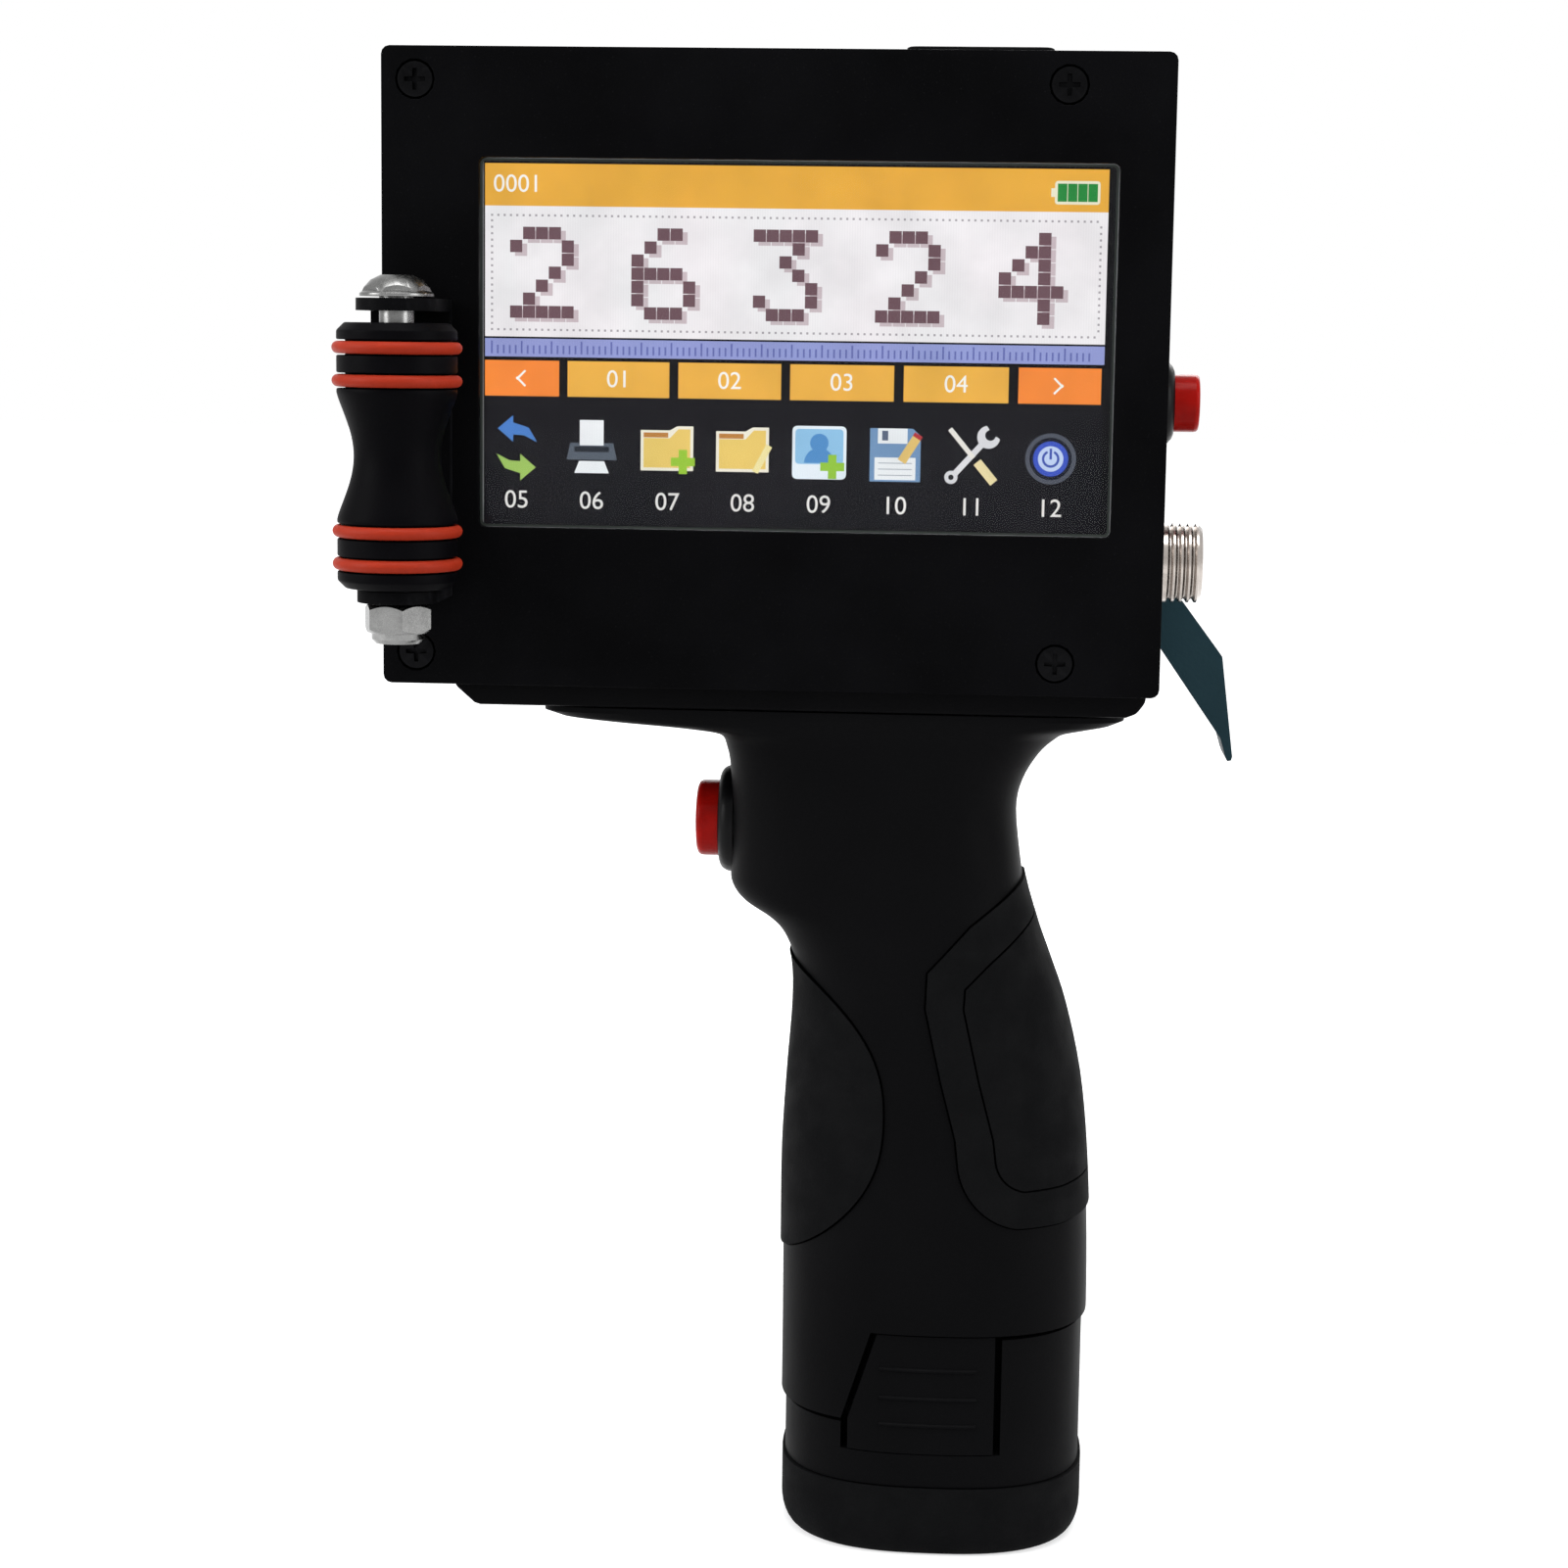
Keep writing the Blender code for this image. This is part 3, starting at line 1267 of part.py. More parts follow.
def tab_outline(side_gap, low_gap, top_z):
    """The latch tab seen from the side: its left edge follows the slope of the handle's rim."""
    left, right = rim_slope_x
    low = tab_bottom_z - low_gap
    slope = (right - left) / (rim_rear_z - rim_front_z)
    start = left + slot_width - side_gap
    return [
        (start, low),
        (tab_right_x + side_gap, low),
        (tab_right_x + side_gap, top_z),
        (start + slope * (top_z - rim_front_z), top_z),
        (start, rim_front_z),
    ]


def tab_space():
    """The hollows behind both latch tabs, with a slot on each side of the tab."""
    outline = tab_outline(slot_width, gap, rim_rear_z + 6 * MM)
    obj = place("space", side_prism(outline), None, home=cutters)
    back = [half - tab_thickness - tab_travel - gap for half in battery_half]
    boolean(obj, straight(60 * MM, MM, back, 2.6, battery_points))
    return baked(obj)


def battery_latches():
    inner_half = [half - tab_thickness for half in battery_half]
    outline = tab_outline(0.0, 0.0, rim_rear_z - gap)
    for name, side in (("battery_latch_front", -1), ("battery_latch_back", 1)):
        origin = (0, side * (battery_half[1] - tab_thickness / 2), tab_bottom_z)
        skin = straight(60 * MM, 5 * MM, battery_half, 2.6, battery_points)
        obj = place(name, skin, black_plastic, origin)
        boolean(obj, straight(70 * MM, MM, inner_half, 2.6, battery_points))
        ends = sorted((side * 5 * MM, side * 40 * MM))
        boolean(obj, outline_mesh(outline, "Y", ends[0], ends[1]), "INTERSECT")


def battery_foot():
    """A cup with a flat bottom and a rounded lower edge."""
    x, y = foot_half
    rows = [
        (foot_height, 0.0),
        (3.6 * MM, 0.0),
        (2.0 * MM, 0.4 * MM),
        (0.9 * MM, 1.0 * MM),
        (0.3 * MM, 1.7 * MM),
        (0.0, 2.4 * MM),
    ]
    sections = [(z, -x + inset, x - inset, y - inset, 2.6) for z, inset in rows]
    obj = place("battery_foot", loft(sections, battery_points), black_rubber)
    boolean(obj, straight(foot_height + MM, cell_bottom_z - 2 * gap, (22.5 * MM, 20.2 * MM), 2.6, 24))


def battery_cells():
    for number, (x, y) in enumerate(cell_centres, 1):
        bm = bmesh.new()
        add_cylinder(bm, (x, y, cell_bottom_z), "Z", cell_length, cell_radius, 24)
        place(f"battery_cell_{number}", mesh_of(bm), cell_wrap, (x, y, cell_bottom_z))


def battery_terminal():
    """The contact head on the tower: a block with two slots for the blades in the handle."""
    low = (-7 * MM, -6 * MM, tower_top_z + gap)
    high = (7 * MM, 6 * MM, tower_top_z + 6 * MM)
    obj = place("battery_terminal", box_mesh(low, high, 1.0 * MM, "Z"), black_plastic, (0, 0, low[2]))
    slots = bmesh.new()
    for x in (-4 * MM, 4 * MM):
        bottom = tower_top_z + 2.5 * MM
        add_box(slots, (x - 0.9 * MM, -4.5 * MM, bottom), (x + 0.9 * MM, 4.5 * MM, high[2] + MM))
    boolean(obj, mesh_of(slots))


def build():
    front_plate()
    plate_screws()
    touch_glass()
    display_module()
    case_frame()
    chassis_plate()
    main_board()
    port_cover()
    rear_cover()
    rear_screws()
    cartridge_stall()
    contact_board()
    ink_cartridge()
    cartridge_cap()
    nozzle_strip()
    nozzle_plate()
    stall_latch()
    latch_pin()
    roller_bracket()
    bracket_screws()
    roller()
    roller_rings()
    roller_bolt()
    roller_nut()
    power_bezel()
    power_cap()
    connector_shell()
    connector_insert()
    saddle_plate()
    grip_pads()
    handle_halves()
    handle_screw_set()
    trigger_bezel()
    trigger_cap()
    trigger_switch()
    handle_contacts()
    battery_case()
    battery_latches()
    battery_foot()
    battery_cells()
    battery_terminal()


build()
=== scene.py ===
"""Visual model of a handheld date code printer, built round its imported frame.

Shapes are in millimetres, and the drawing functions turn them into metres.
The camera and the lamps are placed in metres.
"""

import json
import math

import bpy
from mathutils import Matrix, Vector

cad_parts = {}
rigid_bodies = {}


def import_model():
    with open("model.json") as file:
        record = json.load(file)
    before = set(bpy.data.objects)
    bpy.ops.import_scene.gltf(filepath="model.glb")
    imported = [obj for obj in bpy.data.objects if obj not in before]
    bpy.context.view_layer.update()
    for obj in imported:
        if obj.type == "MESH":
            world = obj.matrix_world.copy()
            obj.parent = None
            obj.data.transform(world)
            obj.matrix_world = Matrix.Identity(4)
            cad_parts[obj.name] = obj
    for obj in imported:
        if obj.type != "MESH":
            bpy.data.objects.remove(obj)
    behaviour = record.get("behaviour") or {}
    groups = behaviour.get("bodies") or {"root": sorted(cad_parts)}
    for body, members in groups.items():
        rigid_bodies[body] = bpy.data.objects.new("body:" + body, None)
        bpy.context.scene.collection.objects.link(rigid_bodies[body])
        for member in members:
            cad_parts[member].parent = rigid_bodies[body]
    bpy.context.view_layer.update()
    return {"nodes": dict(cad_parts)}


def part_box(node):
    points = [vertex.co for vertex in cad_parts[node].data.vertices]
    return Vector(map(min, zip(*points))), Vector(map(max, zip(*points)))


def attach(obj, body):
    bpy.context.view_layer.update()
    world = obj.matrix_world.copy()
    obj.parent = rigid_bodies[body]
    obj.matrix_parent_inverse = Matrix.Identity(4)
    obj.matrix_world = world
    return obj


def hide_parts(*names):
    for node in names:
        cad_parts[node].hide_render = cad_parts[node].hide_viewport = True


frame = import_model()

MM = 0.001


class Place(tuple):
    """A point with named coordinates."""

    x = property(lambda self: self[0])
    y = property(lambda self: self[1])
    z = property(lambda self: self[2])


def box(node):
    """The low and high corners of a frame node."""
    return [Place(value / MM for value in corner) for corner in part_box(node)]


def middle_of(node):
    low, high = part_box(node)
    return Place(value / MM for value in (low + high) / 2)


def metres(point):
    return Vector([value * MM for value in point])


# -------- camera, floor and light


def add_camera():
    """A long lens a little to the right of the screen's middle, looking slightly down."""
    yaw, pitch, roll = math.radians(3.691), math.radians(8.158), math.radians(0.796)
    ahead = Vector((-math.sin(yaw) * math.cos(pitch), math.cos(yaw) * math.cos(pitch), -math.sin(pitch)))
    level = Vector((math.cos(yaw), math.sin(yaw), 0.0))
    upright = level.cross(ahead)
    right = math.cos(roll) * level + math.sin(roll) * upright
    up = math.cos(roll) * upright - math.sin(roll) * level
    data = bpy.data.cameras.new("camera")
    data.lens = 72.72
    data.sensor_width = 36.0
    camera = bpy.data.objects.new("camera", data)
    bpy.context.scene.collection.objects.link(camera)
    turn = Matrix((right, up, -ahead)).transposed().to_4x4()
    camera.matrix_world = Matrix.Translation((0.00723, -0.5530, 0.2117)) @ turn
    bpy.context.scene.camera = camera


def add_lamp(name, place, size, power):
    """A soft rectangle of light, aimed at the middle of the printer."""
    data = bpy.data.lights.new(name, "AREA")
    data.shape = "RECTANGLE"
    data.size, data.size_y = size
    data.energy = power
    lamp = bpy.data.objects.new(name, data)
    lamp.location = place
    lamp.rotation_euler = (Vector((0.0, 0.0, 0.14)) - Vector(place)).to_track_quat("-Z", "Y").to_euler()
    bpy.context.scene.collection.objects.link(lamp)


def node_in(tree, kind, values=None, **settings):
    """A node with its settings made, and its inputs set to values or joined to other nodes' outputs."""
    made = tree.nodes.new("ShaderNode" + kind)
    for key, value in settings.items():
        setattr(made, key, value)
    for key, value in (values or {}).items():
        if isinstance(value, bpy.types.NodeSocket):
            tree.links.new(value, made.inputs[key])
        else:
            made.inputs[key].default_value = value
    return made


def bare_tree(holder):
    """The emptied node tree of a material or a world."""
    holder.use_nodes = True
    holder.node_tree.nodes.clear()
    return holder.node_tree


def seen_or_lit(tree, seen, lit):
    """One shader on camera, glossy and transmitted rays, and another on the rays that carry light."""
    path = node_in(tree, "LightPath").outputs
    ray = path["Is Camera Ray"]
    for other in ("Is Glossy Ray", "Is Transmission Ray"):
        ray = node_in(tree, "Math", {0: ray, 1: path[other]}, operation="MAXIMUM").outputs[0]
    return node_in(tree, "MixShader", {0: ray, 1: lit.outputs[0], 2: seen.outputs[0]})


def add_floor():
    """A sheet of paper that glows white where it is seen, and less round the printer's foot."""
    clear_selection()
    bpy.ops.mesh.primitive_plane_add(size=12.0, location=(0.0, 0.0, 0.0))
    floor = bpy.context.object
    floor.name = floor.data.name = "studio_floor"
    made = bpy.data.materials.new("studio_floor")
    tree = bare_tree(made)
    paper = node_in(tree, "BsdfDiffuse", {"Color": (0.62, 0.62, 0.62, 1.0)})
    place = node_in(tree, "TexCoord").outputs["Object"]
    reach = node_in(tree, "VectorMath", {0: place}, operation="LENGTH").outputs["Value"]
    spread = {"Value": reach, "From Min": 0.10, "From Max": 0.60, "To Min": 0.58, "To Max": 1.0}
    glow = node_in(tree, "Emission", {"Strength": node_in(tree, "MapRange", spread).outputs["Result"]})
    clear = node_in(tree, "BsdfTransparent", {"Color": (0.0, 0.0, 0.0, 1.0)})
    choose = seen_or_lit(tree, glow, clear)
    both = node_in(tree, "AddShader", {0: paper.outputs[0], 1: choose.outputs[0]})
    node_in(tree, "OutputMaterial", {"Surface": both.outputs[0]})
    floor.data.materials.append(made)


def add_stage():
    add_floor()
    world = bpy.data.worlds.new("studio")
    bpy.context.scene.world = world
    tree = bare_tree(world)
    soft = node_in(tree, "Background", {"Color": (0.95, 0.97, 1.0, 1.0), "Strength": 0.45})
    white = node_in(tree, "Background", {"Color": (1.0, 1.0, 1.0, 1.0), "Strength": 1.0})
    node_in(tree, "OutputWorld", {"Surface": seen_or_lit(tree, white, soft).outputs[0]})
    add_lamp("left_softbox", (-0.95, -0.45, 0.55), (0.5, 0.8), 8.0)
    add_lamp("right_softbox", (0.95, -0.45, 0.45), (0.5, 0.8), 6.0)
    add_lamp("back_softbox", (0.1, 0.9, 0.7), (0.9, 0.5), 6.0)
    add_lamp("top_softbox", (0.0, -0.25, 1.1), (0.9, 0.5), 8.0)
    bpy.context.scene.view_settings.view_transform = "Standard"


# -------- modelling


def clear_selection():
    if bpy.context.mode != "OBJECT":
        bpy.ops.object.mode_set(mode="OBJECT")
    bpy.ops.object.select_all(action="DESELECT")


def pick(obj):
    clear_selection()
    obj.select_set(True)
    bpy.context.view_layer.objects.active = obj


def begin(name):
    """An empty piece at the origin, open in edit mode."""
    clear_selection()
    bpy.ops.mesh.primitive_plane_add(size=MM, location=(0.0, 0.0, 0.0))
    obj = bpy.context.object
    obj.name = obj.data.name = name
    bpy.ops.object.mode_set(mode="EDIT")
    bpy.ops.mesh.select_all(action="SELECT")
    bpy.ops.mesh.delete(type="VERT")
    return obj


def draw(points, fill=True):
    """A line drawn by extruding its last point from place to place, and filled if it is an outline."""
    bpy.ops.mesh.primitive_plane_add(size=MM, location=points[0])
    bpy.ops.mesh.merge(type="CENTER")
    for before, after in zip(points, points[1:]):
        bpy.ops.mesh.extrude_vertices_move(TRANSFORM_OT_translate={"value": after - before})
    bpy.ops.mesh.select_linked()
    if fill:
        bpy.ops.mesh.edge_face_add()


def push(vector):
    bpy.ops.mesh.extrude_region_move(TRANSFORM_OT_translate={"value": vector})


def close_up():
    """Merges doubles, turns the faces outwards, and goes back to object mode."""
    bpy.ops.mesh.select_all(action="SELECT")
    bpy.ops.mesh.remove_doubles(threshold=1e-6)
    bpy.ops.mesh.normals_make_consistent(inside=False)
    bpy.ops.object.mode_set(mode="OBJECT")


def in_space(point, axis, along):
    """A flat point put in space, on the plane square to an axis."""
    u, v = point
    return metres({"X": (along, u, v), "Y": (u, along, v), "Z": (u, v, along)}[axis])


def prism(name, outlines, axis, low, high):
    """Flat outlines carried along an axis from low to high."""
    obj = begin(name)
    for outline in outlines:
        draw([in_space(point, axis, low) for point in outline])
        push(in_space((0, 0), axis, high - low))
    close_up()
    return obj


def block(name, low, high):
    """A cube primitive stretched between two corners."""
    clear_selection()
    low, high = metres(low), metres(high)
    bpy.ops.mesh.primitive_cube_add(size=1.0, location=(low + high) / 2, scale=high - low)
    obj = bpy.context.object
    obj.name = obj.data.name = name
    bpy.ops.object.transform_apply(location=True, rotation=True, scale=True)
    return obj


# A turned piece's axis, and the side on which its profile is drawn.
DIRECTIONS = {
    "+X": (Vector((1, 0, 0)), Vector((0, 0, 1))),
    "-X": (Vector((-1, 0, 0)), Vector((0, 0, 1))),
    "+Y": (Vector((0, 1, 0)), Vector((1, 0, 0))),
    "-Y": (Vector((0, -1, 0)), Vector((1, 0, 0))),
    "+Z": (Vector((0, 0, 1)), Vector((1, 0, 0))),
}


def turned(name, profile, centre, direction="+Z", steps=96, ring=False):
    """A profile of (radius, height) drawn beside an axis through the centre, and spun round it."""
    axis, side = DIRECTIONS[direction]
    centre = metres(centre)
    points = [centre + side * (radius * MM) + axis * (height * MM) for radius, height in profile]
    if ring:
        points.append(points[0])
    obj = begin(name)
    draw(points, fill=False)
    bpy.ops.mesh.spin(steps=steps, angle=2 * math.pi, center=centre, axis=axis)
    close_up()
    return obj


def rod(name, radius, start, end, centre, direction="+Z", steps=64):
    """A plain cylinder between two heights on its axis."""
    return turned(name, [(0.0, start), (radius, start), (radius, end), (0.0, end)], centre, direction, steps)


def foot_of_axis(node, direction):
    """The foot of a turned node's axis: the middle of its box, at zero along the axis."""
    axis = DIRECTIONS[direction][0]
    return Place(0.0 if along else value for along, value in zip(axis, middle_of(node)))


def combine(obj, other, operation="DIFFERENCE"):
    """Cuts, joins or keeps with another piece, which is used up."""
    pick(obj)
    modifier = obj.modifiers.new("combine", "BOOLEAN")
    modifier.operation = operation
    modifier.solver = "EXACT"
    modifier.object = other
    bpy.ops.object.modifier_apply(modifier=modifier.name)
    bpy.data.objects.remove(other, do_unlink=True)
    return obj


def soften(obj, width, segments=2, angle=30.0):
    """Rounds every edge sharper than the angle."""
    pick(obj)
    modifier = obj.modifiers.new("edges", "BEVEL")
    modifier.width = width * MM
    modifier.segments = segments
    modifier.limit_method = "ANGLE"
    modifier.angle_limit = math.radians(angle)
    bpy.ops.object.modifier_apply(modifier=modifier.name)


def traced(node, name):
    """A copy of a frame node with its loose triangles merged into whole faces."""
    obj = bpy.data.objects.new(name, frame["nodes"][node].data.copy())
    bpy.context.scene.collection.objects.link(obj)
    pick(obj)
    bpy.ops.object.mode_set(mode="EDIT")
    bpy.ops.mesh.select_all(action="SELECT")
    bpy.ops.mesh.remove_doubles(threshold=2e-6)
    bpy.ops.mesh.dissolve_limited(angle_limit=math.radians(1.0))
    bpy.ops.object.mode_set(mode="OBJECT")
    return obj


def twin(obj, name, shift=(0.0, 0.0, 0.0)):
    """A copy with its own mesh, moved by a shift."""
    other = bpy.data.objects.new(name, obj.data.copy())
    other.data.name = name
    bpy.context.scene.collection.objects.link(other)
    other.location = metres(shift)
    pick(other)
    bpy.ops.object.transform_apply(location=True)
    return other


def settle(obj, slot, node=None, body="printer", angle=32.0, finish=None):
    """Shades the piece, gives it the finish of its slot or one of its own, and hands it to its body."""
    pick(obj)
    bpy.ops.object.shade_smooth_by_angle(angle=math.radians(angle))
    modifier = obj.modifiers.new("flats", "WEIGHTED_NORMAL")
    modifier.keep_sharp = True
    bpy.ops.object.modifier_apply(modifier=modifier.name)
    obj.data.materials.clear()
    obj.data.materials.append(finish or finishes[slot])
    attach(obj, body)
    if node:
        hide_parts(node)


def arc(centre, radius, start, end, steps):
    angles = [math.radians(start + (end - start) * i / steps) for i in range(steps + 1)]
    return [(centre[0] + radius * math.cos(a), centre[1] + radius * math.sin(a)) for a in angles]


def bar(left, low, right, high):
    return [(left, low), (right, low), (right, high), (left, high)]


def rounded(left, low, right, high, radius, steps=4):
    """A bar with round corners."""
    points = []
    centres = bar(right - radius, high - radius, left + radius, low + radius)
    for number, centre in enumerate(centres):
        points += arc(centre, radius, 90 * number, 90 * number + 90, steps)
    return points


def disc(x, z, radius, steps):
    return arc((x, z), radius, 0, 360 - 360 / steps, steps - 1)


def slab(x, z, length, width, degrees):
    """A bar at an angle."""
    a = math.radians(degrees)
    along = Vector((math.cos(a), math.sin(a))) * length / 2
    side = Vector((-math.sin(a), math.cos(a))) * width / 2
    centre = Vector((x, z))
    return [tuple(centre + p) for p in (-along - side, along - side, along + side, -along + side)]


def plus(x, z, size, width):
    """A plus sign, as one wide bar and two short ones."""
    left, right = x - width, x + width
    wide = bar(x - size, z - width, x + size, z + width)
    return [wide, bar(left, z + width, right, z + size), bar(left, z - size, right, z - width)]


# -------- finishes


def brighter(colour, factor):
    return tuple(min(1.0, c * factor) for c in colour)


def from_screen(colour):
    """A display colour, 0 to 255, as linear light."""
    return tuple(((c / 255 + 0.055) / 1.055) ** 2.4 if c > 10 else c / 255 / 12.92 for c in colour)


class Finish:
    """A material whose nodes are added one by one; patterns are sized in millimetres."""

    def __init__(self, name, colour, roughness, metallic=0.0, specular=0.5, extra=None):
        self.material = bpy.data.materials.new(name)
        self.material.use_nodes = True
        self.tree = self.material.node_tree
        self.shader = self.tree.nodes["Principled BSDF"].inputs
        self.shader["Base Color"].default_value = (*colour, 1.0)
        values = {"Roughness": roughness, "Metallic": metallic, "Specular IOR Level": specular}
        for key, value in {**values, **(extra or {})}.items():
            self.shader[key].default_value = value
        self.coordinates = self.node("TexCoord").outputs["Object"]

    def node(self, kind, values=None, **settings):
        return node_in(self.tree, kind, values, **settings)

    def stretch(self, *scale):
        """Object coordinates scaled differently along each axis."""
        return self.node("Mapping", {"Scale": scale, "Vector": self.coordinates}).outputs[0]

    def noise(self, size, detail=3.0, coordinates=None):
        """Noise whose features are about this size."""
        values = {"Scale": 1.0 / (size * MM), "Detail": detail, "Vector": coordinates or self.coordinates}
        return self.node("TexNoise", values).outputs["Fac"]

    def between(self, value, low, high, start=0.35, end=0.65):
        """A value stretched to lie between two others."""
        ends = {"From Min": start, "From Max": end, "To Min": low, "To Max": high}
        return self.node("MapRange", {"Value": value, **ends}).outputs["Result"]

    def blend(self, factor, first, second):
        """Two colours mixed, each a value or another node's output."""
        first, second = ((*c, 1.0) if isinstance(c, tuple) else c for c in (first, second))
        return self.node("Mix", {"Factor": factor, 6: first, 7: second}, data_type="RGBA").outputs[2]

    def mottled(self, size, detail, base, darkest, brightest):
        """The base colour, slowly varied."""
        factor = self.between(self.noise(size, detail), 0, 1)
        return self.blend(factor, brighter(base, darkest), brighter(base, brightest))

    def worn(self, start=0.53, end=0.60):
        """1 on the outer edges of the piece, 0 elsewhere, broken up by noise."""
        edge = self.between(self.node("NewGeometry").outputs["Pointiness"], 0.0, 1.0, start, end)
        patchy = self.between(self.noise(3.0, 4.0), 0.2, 1.0)
        return self.node("Math", {0: edge, 1: patchy}, operation="MULTIPLY", use_clamp=True).outputs[0]

    def finished(self, tone, rough, height, depth, strength):
        """Joins colour, roughness and bump to the shader, and gives the material."""
        bump = self.node("Bump", {"Distance": depth * MM, "Strength": strength, "Height": height})
        for key, output in (("Base Color", tone), ("Roughness", rough), ("Normal", bump.outputs["Normal"])):
            if output:
                self.tree.links.new(output, self.shader[key])
        return self.material


def powder_coat_finish():
    """Near-black satin paint with an orange-peel surface and fine pale specks."""
    base = (0.0016, 0.0016, 0.0019)
    paint = Finish("black_powder_coat", base, 0.5, specular=0.018)
    tone = paint.mottled(22, 3.0, base, 0.75, 1.5)
    specks = paint.between(paint.noise(0.35, 1.0), 0.0, 0.5, 0.66, 0.78)
    tone = paint.blend(specks, tone, (0.010, 0.010, 0.011))
    tone = paint.blend(paint.worn(), tone, (0.007, 0.007, 0.008))
    rough = paint.between(paint.noise(7), 0.42, 0.60)
    return paint.finished(tone, rough, paint.noise(0.55, 2.0), 0.05, 0.55)


def moulded_finish(name, base, grain, roughness, specular, edge=3.0):
    """Moulded plastic with a fine spark-eroded grain, slight handling marks and rubbed edges."""
    plastic = Finish(name, base, roughness, specular=specular)
    tone = plastic.mottled(30, 3.0, base, 0.88, 1.15)
    if edge:
        tone = plastic.blend(plastic.worn(), tone, brighter(base, edge))
    marks = plastic.noise(9, 6.0, plastic.stretch(1.0, 1.0, 0.35))
    rough = plastic.between(marks, roughness - 0.05, roughness + 0.06)
    return plastic.finished(tone, rough, plastic.noise(grain, 2.0), 0.04, 0.6)


def rubber_finish(name, base, roughness, specular):
    """Matte rubber with a pebbled skin and a trace of dust."""
    rubber = Finish(name, base, roughness, specular=specular)
    dust = rubber.between(rubber.noise(1.6, 6.0), 0.0, 0.3, 0.55, 0.80)
    tone = rubber.blend(dust, base, brighter(base, 1.6))
    rough = rubber.between(rubber.noise(6, 4.0), roughness - 0.06, roughness + 0.10)
    pebbles = rubber.node("TexVoronoi", {"Scale": 1.0 / (0.45 * MM), "Vector": rubber.coordinates})
    return rubber.finished(tone, rough, pebbles.outputs["Distance"], 0.05, 0.5)


def metal_finish(name, base, roughness, brushed=(1.0, 1.0, 1.0), tint=0.82):
    """Plated metal with faint staining, fine marks along its working direction and bright edges."""
    metal = Finish(name, base, roughness, metallic=1.0)
    tone = metal.blend(metal.worn(0.52, 0.58), metal.mottled(4, 5.0, base, tint, 1.0), brighter(base, 1.15))
    lines = metal.noise(0.5, 4.0, metal.stretch(*brushed))
    rough = metal.between(lines, roughness - 0.05, roughness + 0.06)
    return metal.finished(tone, rough, lines, 0.002, 0.4)


def gloss_finish(name, base, roughness, specular):
    """Glossy plastic with depth in its colour and hairline scratches."""
    plastic = Finish(name, base, roughness, specular=specular)
    tone = plastic.blend(plastic.worn(), plastic.mottled(3, 3.0, base, 0.86, 1.0), brighter(base, 1.5))
    scratches = plastic.noise(0.6, 3.0, plastic.stretch(0.15, 1.0, 1.0))
    rough = plastic.between(scratches, roughness - 0.05, roughness + 0.10)
    return plastic.finished(tone, rough, scratches, 0.004, 0.5)


def glass_finish():
    """Clear cover glass with a faint film of fingerprints."""
    clear = {"Transmission Weight": 1.0, "IOR": 1.12}
    glass = Finish("cover_glass", (0.96, 0.99, 0.98), 0.04, specular=0.3, extra=clear)
    film = glass.noise(12, 6.0, glass.stretch(1.0, 1.0, 0.6))
    tint = glass.blend(glass.between(film, 0, 1), (0.95, 0.98, 0.97), (1.0, 1.0, 1.0))
    return glass.finished(tint, glass.between(film, 0.0, 0.03), film, 0.003, 0.3)


def board_finish():
    """Green solder mask over a grid of tracks."""
    board = Finish("circuit_board", (0.01, 0.09, 0.035), 0.35)
    greens = {"Color1": (0.012, 0.10, 0.04, 1.0), "Color2": (0.008, 0.07, 0.03, 1.0)}
    tracks = {"Scale": 180.0, "Mortar": (0.03, 0.20, 0.08, 1.0), "Vector": board.coordinates}
    grid = board.node("TexBrick", {**greens, **tracks}).outputs
    rough = board.between(board.noise(2), 0.28, 0.45)
    return board.finished(grid["Color"], rough, grid["Fac"], 0.03, 0.6)


def wrap_finish():
    """Shrink wrap with fine wrinkles round the cell."""
    wrap = Finish("cell_sleeve", (0.03, 0.09, 0.26), 0.35)
    wrinkles = wrap.noise(4, 4.0, wrap.stretch(1.0, 1.0, 0.3))
    tone = wrap.blend(wrap.between(wrinkles, 0, 1), (0.025, 0.07, 0.22), (0.04, 0.12, 0.32))
    return wrap.finished(tone, wrap.between(wrinkles, 0.28, 0.42), wrinkles, 0.06, 0.5)


def lit_finish(name, colour):
    """A lit area of the display: its own light, with the panel's fine columns and slight unevenness."""
    colour = from_screen(colour)
    glowing = {"Emission Strength": 1.0}
    lit = Finish("screen_" + name, (0.003, 0.003, 0.004), 0.4, specular=0.03, extra=glowing)
    cloud = lit.between(lit.noise(9, 3.0), 0.0, 1.0, 0.3, 0.7)
    columns = lit.node("TexWave", {"Scale": 740.0, "Vector": lit.coordinates}, bands_direction="X")
    gaps = lit.between(columns.outputs["Fac"], 0.0, 0.10, 0.0, 1.0)
    tone = lit.blend(cloud, brighter(colour, 0.90), brighter(colour, 1.04))
    tone = lit.blend(gaps, tone, brighter(colour, 0.6))
    lit.tree.links.new(tone, lit.shader["Emission Color"])
    return lit.finished(None, None, lit.noise(0.3, 1.0), 0.002, 0.2)


